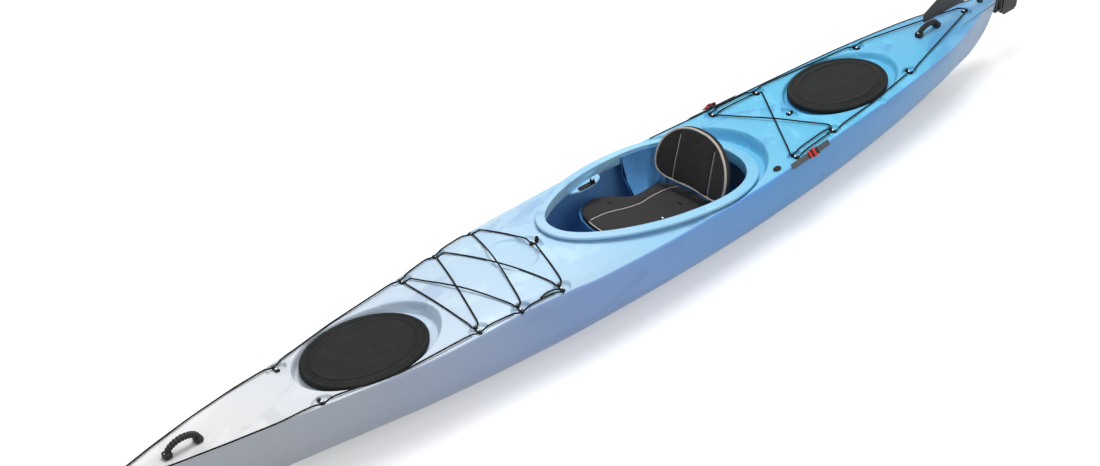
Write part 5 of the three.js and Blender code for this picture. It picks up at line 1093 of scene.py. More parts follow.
@dataclass
class HatchCover:
    """A soft oval cover with a rolled rim and a raised bead, over a moulded collar."""

    palette: Palette
    place: HatchPlace
    segments: int = 200
    crown: float = 0.006
    plate_share: float = 0.66
    bead_share: float = 0.247
    bead_half: float = 0.0075
    bead_high: float = 0.0042
    skirt: tuple = (
        (0.030, 0.0012), (0.021, -0.0035), (0.016, 0.0010), (0.007, 0.0022), (0.0, -0.004), (0.0, -0.012),
        (0.0018, -0.0150), (0.0, -0.0175), (0.002, -0.024), (0.011, -0.024), (0.011, -0.006), (0.03, -0.006),
    )
    skirt_round: float = 0.0035
    under: float = -0.006
    collar_in: tuple = (0.014, 0.021)
    collar_top: float = -0.0075
    collar_round: float = 0.0015

    def polar(self, rows: np.ndarray, close: bool) -> Sheet:
        """Carries rows of (inset from the edge, height) round the oval. Returns: the sheet."""
        points = []
        for inset, dz in rows:
            flat = self.place.oval.grown(-inset).points(self.segments)
            points.append(np.column_stack([flat, self.place.top_z(flat[:, 0]) + dz]))
        return Sheet.grid(np.stack(points), round_u=close, round_v=True)

    def section(self) -> np.ndarray:
        """The cover's section from its middle: a crown of 1 - r^2, a cosine bead on it, and the skirt."""
        b = self.place.oval.b
        r = np.linspace(0, self.plate_share, 12)
        k = np.linspace(-1, 1, 9)
        bead = 1 - self.bead_share + k * self.bead_half / b
        lift = self.bead_high * np.cos(k * math.pi / 2) ** 1.2
        plate = np.column_stack([b * (1 - r), self.crown * (1 - r**2)])
        plate[0, 0] = b * 0.9999
        band = np.column_stack([b * (1 - bead), self.crown * (1 - bead**2) + lift])
        skirt = rounded(self.skirt, self.skirt_round, 5, closed=False)
        return np.vstack([plate, band, skirt, [[b * 0.999, self.under]]])

    def build(self) -> None:
        """Builds the cover and the collar under it."""
        name = self.place.name
        cover = self.polar(self.section(), False).object(f"{name}_hatch_rubber", self.palette.rubber, 60.0)
        mount(cover, f"{name}_hatch", "hatch_rubber", f"{name}_hatch_cover")
        low = self.place.floor - self.place.top + self.under
        near, far = self.collar_in
        corners = [(near, low), (near, self.collar_top), (far, self.collar_top), (far, low)]
        collar = self.polar(rounded(corners, self.collar_round), True)
        made = collar.object(f"{name}_hatch_collar", self.palette.trim, 45.0)
        mount(made, "hull", "hull_plastic", "hull_deck_shell")


@dataclass(frozen=True)
class Softening:
    """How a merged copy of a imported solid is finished: its bevel, subdivision and swell in metres."""

    bevel: float = 0.0012
    steps: int = 2
    levels: int = 0
    swell: float = 0.0
    sharp: float = 40.0

    def apply(self, node: str, name: str, finish: bpy.types.Material, slot: str) -> bpy.types.Object:
        """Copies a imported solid, merges its corners and softens its edges.

        Args: the solid's name, the piece's name, its finish and its slot. Returns: the piece.
        """
        mesh = frame["nodes"][node].data.copy()
        mesh.name = name
        work = bmesh.new()
        work.from_mesh(mesh)
        bmesh.ops.remove_doubles(work, verts=work.verts, dist=2e-5)
        if not self.levels:
            bmesh.ops.dissolve_limit(work, angle_limit=math.radians(0.5), verts=work.verts, edges=work.edges)
        work.to_mesh(mesh)
        work.free()
        if self.swell:
            count = len(mesh.vertices)
            place, out = np.empty(3 * count, np.float32), np.empty(3 * count, np.float32)
            mesh.vertices.foreach_get("co", place)
            mesh.vertices.foreach_get("normal", out)
            mesh.vertices.foreach_set("co", place + self.swell * out)
        mesh.materials.clear()
        mesh.materials.append(finish)
        mesh.polygons.foreach_set("material_index", np.zeros(len(mesh.polygons), np.int32))
        mesh.polygons.foreach_set("use_smooth", np.ones(len(mesh.polygons), bool))
        mesh.set_sharp_from_angle(angle=math.radians(180 if self.levels else self.sharp))
        piece = bpy.data.objects.new(name, mesh)
        bpy.context.scene.collection.objects.link(piece)
        if self.levels:
            soft = piece.modifiers.new("rounding", "SUBSURF")
            soft.levels = soft.render_levels = self.levels
        elif self.bevel:
            soft = piece.modifiers.new("edges", "BEVEL")
            soft.width = self.bevel
            soft.segments = self.steps
            soft.limit_method = "ANGLE"
            soft.angle_limit = math.radians(self.sharp)
            soft.harden_normals = True
        return mount(piece, body_of(node), slot, node)


@dataclass
class Cushion:
    """A crowned cloth cushion over a closed outline, with piping and sewn channels.

    Its own frame is (across u, across v, outwards w). A ring of it is the outline drawn in along
    the lines to its centre. From the middle of the underside the rings run out to the lower seam,
    up a side that pulls in between its two seams, and over the top to its middle.
    """

    palette: Palette
    body: str = "hull"
    columns: int = 220
    top_rows: int = 76
    inset: float = 0.006
    thick: float = 0.028
    foot_in: float = 0.010
    side_low: float = 0.16
    side_high: float = 0.80
    side_pull: float = 0.0032
    seam_angle: float = 0.12
    edge_round: float = 0.011

    def outline(self) -> np.ndarray:
        """Returns: the outline's points (n, 2), counter-clockwise seen from outside."""
        raise NotImplementedError

    def centre(self) -> np.ndarray:
        """Returns: the point that the rings close on."""
        raise NotImplementedError

    def crown(self, flat: np.ndarray, depth: np.ndarray) -> np.ndarray:
        """Height of the top over the cushion's foot, by place and by depth in from the outline."""
        raise NotImplementedError

    def place(self, points: np.ndarray) -> np.ndarray:
        """Carries the cushion's own points into the hull's frame."""
        raise NotImplementedError

    def drawn_in(self, by: float | np.ndarray) -> np.ndarray:
        """The outline moved in by a distance, along the lines to the centre."""
        out = self.outline() - self.centre()
        size = np.linalg.norm(out, axis=1)[:, None]
        return self.centre() + out * (size - by) / size

    def shell(self) -> Sheet:
        """Returns: the cushion's skin, ring by ring from the middle of its foot to that of its top."""
        out = self.outline() - self.centre()
        size = np.linalg.norm(out, axis=1)
        rings = []
        for share in np.linspace(0.002, 1, 14):
            flat = self.centre() + out * ((size - self.inset - self.foot_in) * share / size)[:, None]
            rings.append(np.column_stack([flat, np.zeros(len(flat))]))
        for a in np.linspace(0, 1, 5)[1:]:
            by = self.inset + self.foot_in * (1 - math.sin(a * math.pi / 2))
            rings.append(self.ring_at(by, self.thick * self.side_low * a**1.5))
        for a in np.linspace(self.seam_angle, math.pi - self.seam_angle, 11):
            up = self.side_low + (self.side_high - self.side_low) * (a / math.pi)
            rings.append(self.ring_at(self.inset + self.side_pull * math.sin(a), self.thick * up))
        first, seam = self.inset + self.edge_round, self.thick * self.side_high
        top_edge = self.crown(self.drawn_in(first), np.full(len(out), first))
        for a in np.linspace(0, math.pi / 2, 7)[:-1]:
            ring = self.ring_at(self.inset + self.edge_round * (1 - math.cos(a)), seam)
            ring[:, 2] += (top_edge - seam) * math.sin(a)
            rings.append(ring)
        for share in np.linspace(0, 0.998, self.top_rows):
            reach = (size - first) * (1 - share)
            flat = self.centre() + out * (reach / size)[:, None]
            rings.append(np.column_stack([flat, self.crown(flat, size - reach)]))
        return Sheet.grid(self.place(np.stack(rings)), round_v=True).flipped()

    def ring_at(self, by: float, up: float) -> np.ndarray:
        """One ring at a distance in from the outline and a height over the foot."""
        flat = self.drawn_in(by)
        return np.column_stack([flat, np.full(len(flat), up)])

    def over(self, flat: np.ndarray, lift: float) -> np.ndarray:
        """Lays a line on the cushion's top. Args: its places (n, 2) and its lift. Returns: its points."""
        out = self.outline() - self.centre()
        bearing = np.arctan2(out[:, 1], out[:, 0])
        order = np.argsort(bearing)
        own = flat - self.centre()
        size = np.interp(
            np.arctan2(own[:, 1], own[:, 0]), bearing[order], np.linalg.norm(out, axis=1)[order], period=TURN
        )
        depth = size - np.linalg.norm(own, axis=1)
        return self.place(np.column_stack([flat, self.crown(flat, depth) + lift]))

    def sew(
        self, sheet: Sheet, name: str, finish: bpy.types.Material, *nodes: str, sharp: float = 80.0
    ) -> bpy.types.Object:
        """Makes a sheet a piece of the cushion.

        Args: the sheet, the piece's name and finish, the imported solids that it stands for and
        the angle past which an edge stays sharp. Returns: the piece.
        """
        return mount(sheet.object(name, finish, sharp), self.body, "cushion_fabric", *nodes)


def dent(distance: np.ndarray, deep: float, wide: float) -> np.ndarray:
    """A soft groove: deep times the bell curve of distance over wide."""
    return deep * np.exp(-((distance / wide) ** 2))


@dataclass
class SeatCushion(Cushion):
    """The seat's pad: waisted, with a piped seam inside its edge and two ring buttons."""

    rear: float = -0.487
    front: float = 0.118
    foot: float = 0.1166
    rise: float = 0.2
    widths: tuple = (0.182, 0.160, 0.222)
    shares: tuple = (
        (0.005, 0.70, 0), (0.07, 1.0, 0), (0.22, 0.98, 0), (0.42, 1.0, 1), (0.56, 0.90, 2), (0.66, 1.0, 2),
        (0.80, 0.94, 2), (0.94, 0.62, 2),
    )
    crown_high: float = 0.0075
    crown_run: float = 0.030
    seam: tuple = (
        (-0.500, 0.122), (-0.400, 0.121), (-0.300, 0.108), (-0.200, 0.085), (-0.110, 0.083), (-0.030, 0.092),
        (0.060, 0.088), (0.130, 0.078),
    )
    seam_short: tuple = (0.016, 0.026)
    seam_wire: float = 0.0022
    groove: tuple = (0.0045, 0.006)
    shoulder_off: float = 0.035
    shoulder: tuple = (0.0016, 0.024)
    fold_high: float = 0.0005
    fold_wide: float = 0.016
    ripple_high: float = 0.0006
    edge_out: float = 0.0006
    edge_wire: float = 0.0024
    piped_front: float = 0.084
    front_wire: float = 0.0027
    front_off: tuple = (0.0008, 0, 0.0016)
    buttons: tuple = ((-0.083, -0.143), (-0.343, 0.006))
    button_dent: tuple = (0.0032, 0.013)
    button_ring: float = 0.0085
    button_size: tuple = (0.011, 0.011, 0.004)
    lift: float = 0.0008

    def outline(self) -> np.ndarray:
        """Returns: the seat's plan, from its front by port to its rear and back by starboard."""
        long = self.front - self.rear
        side = [(self.rear + long * x, y * self.widths[which]) for x, y, which in self.shares]
        port = side[::-1]
        starboard = [(x, -y) for x, y in side]
        return smooth_path([(self.front, 0), *port, (self.rear, 0), *starboard], self.columns, closed=True)

    def seam_y(self, x: np.ndarray) -> np.ndarray:
        """How far out the piped seams run at a place along the seat."""
        line = smooth_path(self.seam, 120)
        return np.interp(x, line[:, 0], line[:, 1])

    def centre(self) -> np.ndarray:
        """Returns: the middle of the seat's length."""
        return np.array([(self.rear + self.front) / 2, 0.0])

    def crown(self, flat: np.ndarray, depth: np.ndarray) -> np.ndarray:
        """A dome that levels off inwards, less the seam's groove, the buttons and faint folds."""
        x, y = flat[:, 0], flat[:, 1]
        rise = 1 - np.exp(-np.maximum(depth - self.inset, 0) / self.crown_run)
        off = np.abs(y) - self.seam_y(x)
        top = self.thick + self.crown_high * rise
        top = top - dent(off, *self.groove) + dent(off - self.shoulder_off, *self.shoulder)
        for place in self.buttons:
            top = top - dent(np.hypot(x - place[0], y - place[1]), *self.button_dent)
        bearing = np.arctan2(y, x - self.centre()[0])
        folds = self.fold_high * np.sin(46 * bearing + 3 * np.sin(5 * bearing)) * dent(off, 1, self.fold_wide)
        return top + folds + self.ripple_high * np.sin(31 * x + 1.3) * np.sin(37 * y + 0.4)

    def place(self, points: np.ndarray) -> np.ndarray:
        """Stands the cushion on the seat, whose floor rises forwards."""
        lifted = points.copy()
        lifted[..., 2] += self.foot + self.rise * (points[..., 0] - self.rear)
        return lifted

    def seams(self) -> Sheet:
        """Returns: the piping along both fore-and-aft seams."""
        x = np.linspace(self.rear + self.seam_short[0], self.front - self.seam_short[1], 120)
        lines = [np.column_stack([x, side.value * self.seam_y(x)]) for side in Side]
        return joined(tube(self.over(line, self.lift), self.seam_wire, 10) for line in lines)

    def button(self, x: float, y: float) -> Sheet:
        """A button: a ring of cord round a soft disc. Args: its place. Returns: the sheet."""
        turn = np.linspace(0, TURN, 40, endpoint=False)
        ring = np.column_stack([x + self.button_ring * np.cos(turn), y + self.button_ring * np.sin(turn)])
        disc = block(self.button_size, 2.4, 12).moved(self.over(np.array([[x, y]]), self.lift)[0])
        return tube(self.over(ring, 0.0010), self.seam_wire, 10, True) + disc

    def build(self) -> None:
        """Builds the cushion, its piping and its buttons."""
        p = self.palette
        pad = self.sew(self.shell(), "seat_cushion", p.cloth, "seat_pad")
        self.sew(self.seams(), "seat_seam_piping", p.piping)
        edge = self.place(self.ring_at(self.inset - self.edge_out, self.thick * self.side_high))
        ahead = np.roll(edge, self.columns // 2, axis=0)
        ahead = ahead[(ahead[:, 0] > 0) & (np.abs(ahead[:, 1]) < self.piped_front)] + self.front_off
        self.sew(tube(ahead, self.front_wire, 10), "seat_front_piping", p.piping)
        self.sew(tube(edge, self.edge_wire, 10, True), "seat_edge_piping", p.edging)
        buttons = joined(self.button(x, y) for x, y in self.buttons)
        self.sew(buttons, "seat_buttons", p.black, sharp=50.0)


@dataclass
class BackCushion(Cushion):
    """The backrest's pad: curved round the sitter, thickly piped, with two upright seams."""

    body: str = "backrest"
    inset: float = 0.001
    edge_round: float = 0.010
    half: float = 0.192
    high: float = 0.258
    lean: float = math.radians(-11.2)
    origin: tuple = (-0.446, 0.0, 0.214)
    wrap: float = 0.026
    foot: float = 0.0075
    shares: tuple = (
        (0.62, 0.0), (0.90, 0.07), (1.0, 0.24), (0.98, 0.46), (0.87, 0.68), (0.62, 0.88), (0.30, 0.98),
    )
    crown_high: float = 0.0055
    crown_run: float = 0.028
    seam_low: float = 0.097
    seam_high: float = 0.093
    seam_ends: tuple = (0.012, 0.208)
    seam_wire: float = 0.0017
    groove: tuple = (0.0042, 0.006)
    shoulder_off: float = 0.03
    shoulder: tuple = (0.0012, 0.02)
    dimple_at: float = 0.205
    dimple: tuple = (0.0035, 0.014)
    bulge_at: float = 0.110
    bulge: tuple = (0.002, 0.05)
    fold_high: float = 0.0005
    fold_wide: float = 0.02
    front_edge: tuple = (0.0035, 0.93)
    front_wire: float = 0.0052
    back_edge: tuple = (0.0025, 0.0035)
    back_wire: float = 0.0026

    def outline(self) -> np.ndarray:
        """Returns: the backrest seen from its front, across and up."""
        side = [(across * self.half, up * self.high) for across, up in self.shares]
        other = [(-y, z) for y, z in side[::-1]]
        return smooth_path([(0, 0), *side, (0, self.high), *other], self.columns, closed=True)

    def centre(self) -> np.ndarray:
        """Returns: the middle of the backrest."""
        return np.array([0.0, self.high / 2])

    def seam(self, z: np.ndarray) -> np.ndarray:
        """How far out the upright seams stand at a height."""
        return self.seam_low + (self.seam_high - self.seam_low) * z / self.high

    def crown(self, flat: np.ndarray, depth: np.ndarray) -> np.ndarray:
        """A dome that levels off inwards, less the upright seams, a dimple and faint folds."""
        y, z = flat[:, 0], flat[:, 1]
        rise = 1 - np.exp(-np.maximum(depth - self.inset, 0) / self.crown_run)
        off = np.abs(y) - self.seam(z)
        top = self.thick + self.crown_high * rise
        top = top - dent(off, *self.groove) + dent(off + self.shoulder_off, *self.shoulder)
        top = top - dent(np.hypot(y, z - self.dimple_at), *self.dimple)
        top = top + dent(np.hypot(y, z - self.bulge_at), *self.bulge)
        folds = self.fold_high * np.sin(240 * z + 2 * np.sin(40 * z)) * dent(off, 1, self.fold_wide)
        return top + folds + self.fold_high * np.sin(43 * z + 1.1) * np.sin(33 * y + 0.6)

    def place(self, points: np.ndarray) -> np.ndarray:
        """Wraps the cushion, leans it back about its foot and stands it behind the seat."""
        y, z = points[..., 0], points[..., 1]
        ahead = points[..., 2] + self.foot + self.wrap * (y / self.half) ** 2
        c, s = math.cos(self.lean), math.sin(self.lean)
        return np.stack([self.origin[0] + ahead * c + z * s, y, self.origin[2] - ahead * s + z * c], axis=-1)

    def build(self) -> None:
        """Builds the cushion, its edge piping and its two upright seams."""
        p = self.palette
        pad = self.sew(self.shell(), "backrest_cushion", p.cloth, "backrest_pad")
        by, share = self.front_edge
        front = tube(self.place(self.ring_at(by, self.thick * share)), self.front_wire, 12, True)
        self.sew(front, "backrest_edge_piping", p.piping)
        back = tube(self.place(self.ring_at(*self.back_edge)), self.back_wire, 10, True)
        self.sew(back, "backrest_back_piping", p.edging)
        z = np.linspace(*self.seam_ends, 70)
        lines = [np.column_stack([side.value * self.seam(z), z]) for side in Side]
        seams = joined(tube(self.over(line, 0.0006), self.seam_wire, 8) for line in lines)
        self.sew(seams, "backrest_seams", p.piping)


def dome(radius: float, rise: float, edge: float = 0.002, steps: int = 7, sides: int = 24) -> Sheet:
    """A domed disc: rings of cosine radius at sine height, over a short upright edge."""
    angle = np.linspace(0, math.pi / 2 - 0.02, steps)
    reach = np.concatenate([[1], np.cos(angle)])[:, None] * radius
    height = np.concatenate([[-edge], np.sin(angle) * rise])[:, None]
    turn = np.linspace(0, TURN, sides, endpoint=False)
    points = [reach * np.cos(turn), reach * np.sin(turn), np.broadcast_to(height, (steps + 1, sides))]
    return Sheet.grid(np.stack(points, axis=-1), round_v=True).flipped()


@dataclass
class DeckFittings:
    """The low bars in the deck's scoops: two eyes for cords on a foot, and a domed bolt."""

    palette: Palette
    thick: float = 0.011
    half: float = 0.020
    eye_at: float = 0.0135
    eye_radius: float = 0.0038
    eye_wall: float = 0.0022
    eye_height: float = -0.0034
    eye_round: float = 0.001
    bridge_high: float = 0.008
    sink: float = 0.0134
    bolt: tuple = (0.0046, 0.0026)

    def eye(self, at: float) -> Sheet:
        """One eye: a soft-cornered section carried round a circle that stands across the bar."""
        near, far, wide = self.eye_radius, self.eye_radius + self.eye_wall, self.thick / 2
        section = rounded([(near, -wide), (far, -wide), (far, wide), (near, wide)], self.eye_round, 4)
        turn = np.linspace(0, TURN, 28, endpoint=False)[:, None]
        r, a = section[None, :, 0], section[None, :, 1]
        points = [a * np.ones_like(turn), at + r * np.cos(turn), self.eye_height + r * np.sin(turn)]
        return Sheet.grid(np.stack(points, axis=-1), round_u=True, round_v=True)

    def bar(self) -> Sheet:
        """The foot of the bar and the bridge between its eyes. Returns: the sheet."""
        low, top = -self.sink, self.eye_height - self.eye_radius
        foot = block((self.thick, 2 * self.half, top - low), 6, 14).moved([0, 0, (low + top) / 2])
        gap = 2 * (self.eye_at - self.eye_radius - self.eye_wall / 2)
        bridge = block((self.thick, gap, self.bridge_high), 5, 14)
        bridge = bridge.moved([0, 0, self.eye_height - self.bridge_high / 2])
        return joined([foot, bridge, self.eye(self.eye_at), self.eye(-self.eye_at)])

    def build(self) -> None:
        """Builds every bar and one piece of all their bolts."""
        head, bar = dome(*self.bolt).moved([0, 0, self.eye_height]), self.bar()
        for node, place in FRAMES.items():
            made = bar.placed(place.place).object(f"{node}_bar", self.palette.black, 45.0)
            mount(made, "hull", "black_plastic", node)
        bolts = joined(head.placed(place.place) for place in FRAMES.values())
        mount(bolts.object("fitting_bolts", self.palette.chrome, 60.0), "hull", "steel")


@dataclass
class Cords:
    """The bungee, the deck lines and the rudder's lift line, with a loose tail and a knot."""

    palette: Palette
    nodes: tuple = ("front_bungee", "rear_bungee", "front_deck_line", "rear_deck_line", "rudder_lift_line")
    radius: float = 0.003
    swell: float = 0.00042
    tail_x: tuple = (0.596, 0.690)
    tail_y: float = 0.2560
    tail_slope: float = 0.10
    tail_bow: float = 0.006
    tail_lift: float = 0.0012
    tail_hump: float = 0.004
    knot_back: float = 0.016
    knot_up: float = 0.004
    knot_half: tuple = (0.0055, 0.007, 0.0035)

    def tail(self) -> Sheet:
        """The bungee's loose end: it bows inwards and lies in a low hump, both a half sine."""
        start, stop = self.tail_x
        x = np.linspace(start, stop, 12)
        hump = np.sin((x - start) / (stop - start) * math.pi)
        y = self.tail_y - self.tail_slope * (x - start) - self.tail_bow * hump
        lift = self.radius + self.tail_lift + self.tail_hump * hump
        return tube(np.column_stack([x, y, LINES.deck(x, y) + lift]), self.radius, 10)

    def knot(self) -> Sheet:
        """The knot at the foredeck's eye: a loop that goes round twice as it rises and falls once."""
        turn = np.linspace(0, 2 * TURN, 60, endpoint=False)
        eye, (long, wide, high) = FRAMES["foredeck_eye"].origin, self.knot_half
        x = eye[0] - self.knot_back + long * np.cos(turn)
        z = eye[2] + self.knot_up + high * np.sin(turn / 2)
        return tube(np.column_stack([x, wide * np.sin(turn + 0.5), z]), self.radius, 10, True)

    def build(self) -> None:
        """Builds each cord from its packed run, then the tail and the knot."""
        look = Softening(levels=1, swell=self.swell)
        for node in self.nodes:
            look.apply(node, f"{node}_cord", self.palette.cord, "cord")
        ends = self.tail() + self.knot()
        mount(ends.object("bungee_tail_and_knot", self.palette.cord, 60.0), "hull", "cord")


@dataclass
class Handle:
    """A carrying handle: a ribbed tube that arches from one square foot to the other."""

    palette: Palette
    name: str
    middle: float
    rise: float
    reach: float = 0.064
    radius: float = 0.0125
    rib: float = 0.0022
    ribs: int = 14
    foot: tuple = (0.030, 0.032, 0.022)
    gap: float = 0.0006
    foot_lift: float = 0.0007
    root_share: float = 0.62
    bolt: tuple = (0.0042, 0.0022)
    bolt_out: float = 0.0085
    bolt_sunk: float = 0.0002

    def base(self, x: np.ndarray) -> np.ndarray:
        """Height of the deck that a foot at x stands on."""
        return np.maximum(LINES.deck(x, 0.0), LINES.deck(x, self.foot[1] / 2)) + self.gap

    def arch(self) -> Sheet:
        """The tube between the feet: its height is a sine, and its radius dips between ribs as a cosine."""
        turn = np.linspace(0, math.pi, 2 * 6 * self.ribs + 1)
        x = self.middle + self.reach * np.cos(turn)
        root = self.foot[2] * self.root_share
        z = self.base(x) + root + (self.rise - root) * np.sin(turn)
        radius = self.radius - self.rib * (0.5 - 0.5 * np.cos(2 * self.ribs * turn)) ** 2
        return tube(np.column_stack([x, np.zeros_like(x), z]), radius, 24)

    def build(self) -> None:
        """Builds the arch, its feet and its bolts."""
        parts, bolts = [self.arch()], []
        for sign in (1, -1):
            at = self.middle + sign * self.reach
            low = float(self.base(np.array(at))) + self.foot_lift
            parts.append(block(self.foot, 7, 20).moved([at, 0, low + self.foot[2] / 2]))
            top = low + self.foot[2] - self.bolt_sunk
            bolts.append(dome(*self.bolt).moved([at + sign * self.bolt_out, 0, top]))
        grip = joined(parts).object(f"{self.name}_grip", self.palette.black, 50.0)
        mount(grip, "hull", "black_plastic", self.name)
        mount(joined(bolts).object(f"{self.name}_bolts", self.palette.chrome, 60.0), "hull", "steel")


@dataclass
class GunwaleStraps:
    """The webbing straps along the gunwales behind the cockpit."""

    palette: Palette
    wide: float = 0.025
    thick: float = 0.002
    edge_round: float = 0.0009
    gap: float = 0.0008
    spans: tuple = ((Side.PORT, -0.722, -0.978), (Side.STARBOARD, -0.706, -0.976))

    def build(self) -> None:
        """Builds each strap: a soft-edged flat section carried along the gunwale's corner."""
        half = self.wide / 2
        corners = [(-half, 0), (half, 0), (half, self.thick), (-half, self.thick)]
        flat = rounded(corners, self.edge_round, 4)[None]
        for side, start, stop in self.spans:
            edge, across, out = gunwale(side, np.linspace(stop, start, 90))
            points = edge[:, None] + flat[..., :1] * across + (flat[..., 1:] + self.gap) * out
            first, last = (np.broadcast_to(row.mean(0), row.shape) for row in (points[0], points[-1]))
            rows = (points, np.stack([first, points[0]]), np.stack([points[-1], last]))
            sheet = joined(Sheet.grid(row, round_v=True) for row in rows)
            sheet = sheet if side is Side.PORT else sheet.flipped()
            node = f"gunwale_strap_{side.word}"
            mount(sheet.object(f"{node}_webbing", self.palette.webbing, 45.0), "hull", "webbing", node)


@dataclass
class BuckleClips:
    """The red release clips that lie across the strap buckles."""

    palette: Palette
    places: tuple = ((Side.PORT, -0.868), (Side.STARBOARD, -0.834))
    lift: float = 0.0150
    blocks: tuple = (
        ((0.014, 0.038, 0.006), 5, 16, (0.006, 0, 0.001)),
        ((0.007, 0.024, 0.004), 4, 12, (0.006, 0, 0.0045)),
        ((0.026, 0.006, 0.005), 5, 12, (-0.001, -0.0145, 0)),
        ((0.026, 0.006, 0.005), 5, 12, (-0.001, 0.0145, 0)),
    )

    def build(self) -> None:
        """Builds each clip: a saddle across the buckle, a grip on it and two arms along it."""
        clip = joined(block(size, power, rows).moved(place) for size, power, rows, place in self.blocks)
        for side, x in self.places:
            corner, across, out = gunwale(side, np.array([x]))
            points = corner + clip.points @ np.stack([[1, 0, 0], across, out]) + self.lift * out
            sheet = Sheet(points, clip.faces, clip.uv)
            sheet = sheet.flipped() if side is Side.PORT else sheet
            mount(sheet.object(f"buckle_clip_{side.word}", self.palette.red, 50.0), "hull", "red_plastic")


@dataclass
class ThighBraceKnobs:
    """The round knobs that clamp the thigh brace plates: fluted grips with a bright bolt."""

    palette: Palette
    at: tuple = (-0.030, 0.195, 0.336)
    radius: float = 0.010
    high: float = 0.015
    outline: tuple = ((0.001, 0), (0.6, 0), (1, 0.22), (1, 0.86), (0.82, 1), (0.001, 1))
    outline_round: float = 0.08
    flutes: int = 10
    flute_deep: float = 0.07
    bolt: tuple = (0.0042, 0.0016)
    bolt_sunk: float = 0.0002

    def knob(self) -> Sheet:
        """A knob on the origin: a turned outline whose radius waves with its flutes."""
        section = rounded(self.outline, self.outline_round, 4, closed=False)
        turn = np.linspace(0, TURN, 80, endpoint=False)
        wave = 1 - self.flute_deep * (0.5 + 0.5 * np.cos(self.flutes * turn)) ** 3
        reach = self.radius * section[:, :1] * wave
        level = np.broadcast_to(self.high * section[:, 1:], reach.shape)
        points = np.stack([reach * np.cos(turn), reach * np.sin(turn), level], axis=-1)
        return Sheet.grid(points, round_v=True).flipped()

    def build(self) -> None:
        """Builds both knobs and their bolts."""
        x, y, z = self.at
        for side in Side:
            node, body = f"thigh_brace_knob_{side.word}", f"brace_knob_{side.word}"
            grip = self.knob().moved([x, side.value * y, z])
            mount(grip.object(f"{node}_grip", self.palette.black, 50.0), body, "black_plastic", node)
            head = dome(*self.bolt).moved([x, side.value * y, z + self.high - self.bolt_sunk])
            mount(head.object(f"{node}_bolt", self.palette.chrome, 60.0), body, "steel")


@dataclass
class SmallParts:
    """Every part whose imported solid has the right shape: a merged copy with softened edges."""

    palette: Palette

    def looks(self) -> dict[str, tuple[bpy.types.Material, str, Softening]]:
        """Returns: the finish, the slot and the softening of each, by the start of its node's name."""
        p = self.palette
        fine, plain, broad = Softening(0.0007), Softening(0.0012), Softening(0.0026, 3)
        return {
            "seat_pan": (p.seat, "seat_plastic", Softening(0.0014, 2, sharp=50.0)),
            "backrest_shell": (p.black, "black_plastic", Softening(0.0011, 2, sharp=50.0)),
            "buckle_socket": (p.black, "black_plastic", plain),
            "buckle_tongue": (p.red, "red_plastic", plain),
            "thigh_brace_plate": (p.black, "black_plastic", plain),
            "foot_rail": (p.black, "black_plastic", plain),
            "foot_pedal": (p.black, "black_plastic", plain),
            "skeg_box": (p.lining, "hull_plastic", fine),
            "skeg_blade": (p.grey, "grey_plastic", broad),
            "skeg_cleat": (p.black, "black_plastic", plain),
            "rudder_bracket": (p.black, "black_plastic", plain),
            "rudder_head": (p.black, "black_plastic", plain),
            "rudder_blade": (p.grey, "grey_plastic", broad),
            "rudder_pin": (p.steel, "steel", fine),
            "rudder_blade_pin": (p.steel, "steel", fine),
            "skeg_pin": (p.steel, "steel", fine),
            "rudder_cable": (p.black, "steel", Softening(levels=1, swell=0.00015)),
            "drain_plug": (p.black, "black_plastic", fine),
            "front_bulkhead": (p.foam, "foam", fine),
            "rear_bulkhead": (p.foam, "foam", fine),
        }

    def build(self) -> None:
        """Builds a softened copy of every such part."""
        looks = self.looks()
        for node in frame["nodes"]:
            key = node.removesuffix("_port").removesuffix("_starboard")
            if key in looks:
                finish, slot, soft = looks[key]
                soft.apply(node, f"{node}_part", finish, slot)


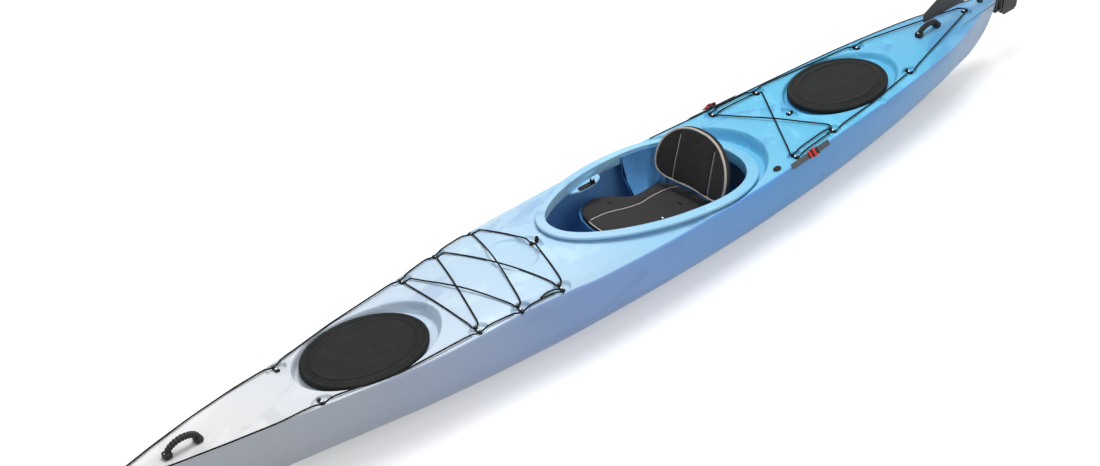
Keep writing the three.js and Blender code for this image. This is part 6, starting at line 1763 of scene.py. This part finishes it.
@dataclass(frozen=True)
class Studio:
    """The camera of the photograph, the pale floor and the lamps."""

    eye: tuple = (5.07448, 4.77717, 4.99801)
    target: tuple = (0.2521, -0.1502, 0.2434)
    lens: float = 68.81
    sensor: float = 36.0
    reach: float = 60.0
    sky: float = 0.42
    floor_half: float = 40.0
    floor_lit: float = 0.36
    floor_seen: float = 0.86
    floor_glow: float = 0.36
    lamps: tuple = (("key_lamp", (-1.0, -0.6, 7.4), 3.4, 330.0), ("fill_lamp", (1.2, 6.5, 3.6), 4.0, 60.0))
    lamp_target: tuple = (0.0, 0.0, 0.2)

    @staticmethod
    def stand(data: bpy.types.ID, place: Sequence[float], target: Sequence[float]) -> bpy.types.Object:
        """Stands a camera or a lamp at a place, turned to its target. Returns: the object."""
        made = bpy.data.objects.new(data.name, data)
        made.location = place
        made.rotation_euler = (Vector(target) - Vector(place)).to_track_quat("-Z", "Y").to_euler()
        bpy.context.scene.collection.objects.link(made)
        return made

    def camera(self) -> None:
        """Sets the camera."""
        data = bpy.data.cameras.new("photo_camera")
        data.lens, data.sensor_width, data.clip_end = self.lens, self.sensor, self.reach
        bpy.context.scene.camera = self.stand(data, self.eye, self.target)

    def lamp(self, name: str, place: Sequence[float], size: float, power: float) -> None:
        """Adds a large square lamp that looks at the cockpit."""
        data = bpy.data.lights.new(name, "AREA")
        data.size, data.energy = size, power
        self.stand(data, place, self.lamp_target)

    def backdrop(self) -> None:
        """Makes the world: white to the eye and in reflections, and a soft grey light to the rest."""
        world = bpy.data.worlds.new("studio")
        world.use_nodes = True
        nodes = Nodes(world.node_tree)
        light = nodes.blend(nodes.seen(), (self.sky,) * 3, (1.0,) * 3)
        nodes.feed(world.node_tree.nodes["Background"].inputs["Color"], light)
        bpy.context.scene.world = world

    def floor(self) -> None:
        """Lays the floor: near white to the eye, and a grey that throws less light on the kayak."""
        dye = Dye("floor_white")
        seen = dye.seen()
        dye.finish(
            Base_Color=dye.blend(seen, (self.floor_lit,) * 3, (self.floor_seen,) * 3),
            Emission_Color=dye.blend(seen, (0.0,) * 3, (self.floor_glow,) * 3),
            Emission_Strength=1.0, Roughness=0.9, Specular_IOR_Level=0.0,
        )
        low, high = -self.floor_half, self.floor_half
        corners = np.array([[[low, low, 0], [low, high, 0]], [[high, low, 0], [high, high, 0]]])
        Sheet.grid(corners).object("floor", dye.material, weld=False)

    def build(self) -> None:
        """Sets the backdrop, the floor and the lamps."""
        bpy.context.scene.view_settings.view_transform = "Standard"
        self.backdrop()
        self.floor()
        for lamp in self.lamps:
            self.lamp(*lamp)


def main() -> None:
    """Builds the kayak piece by piece."""
    studio = Studio()
    studio.camera()
    palette = Palette.mix()
    builders = [HullSkin(palette), Cockpit(palette)]
    builders += [HatchCover(palette, place) for place in HATCH_PLACES]
    builders += [SeatCushion(palette), BackCushion(palette), DeckFittings(palette), Cords(palette)]
    builders += [Handle(palette, "bow_handle", middle=2.144, rise=0.052)]
    builders += [Handle(palette, "stern_handle", middle=-1.994, rise=0.040)]
    builders += [GunwaleStraps(palette), BuckleClips(palette), ThighBraceKnobs(palette)]
    builders += [SmallParts(palette), studio]
    for builder in builders:
        builder.build()
        LOG.info("built %s", type(builder).__name__)


if __name__ == "__main__":
    main()
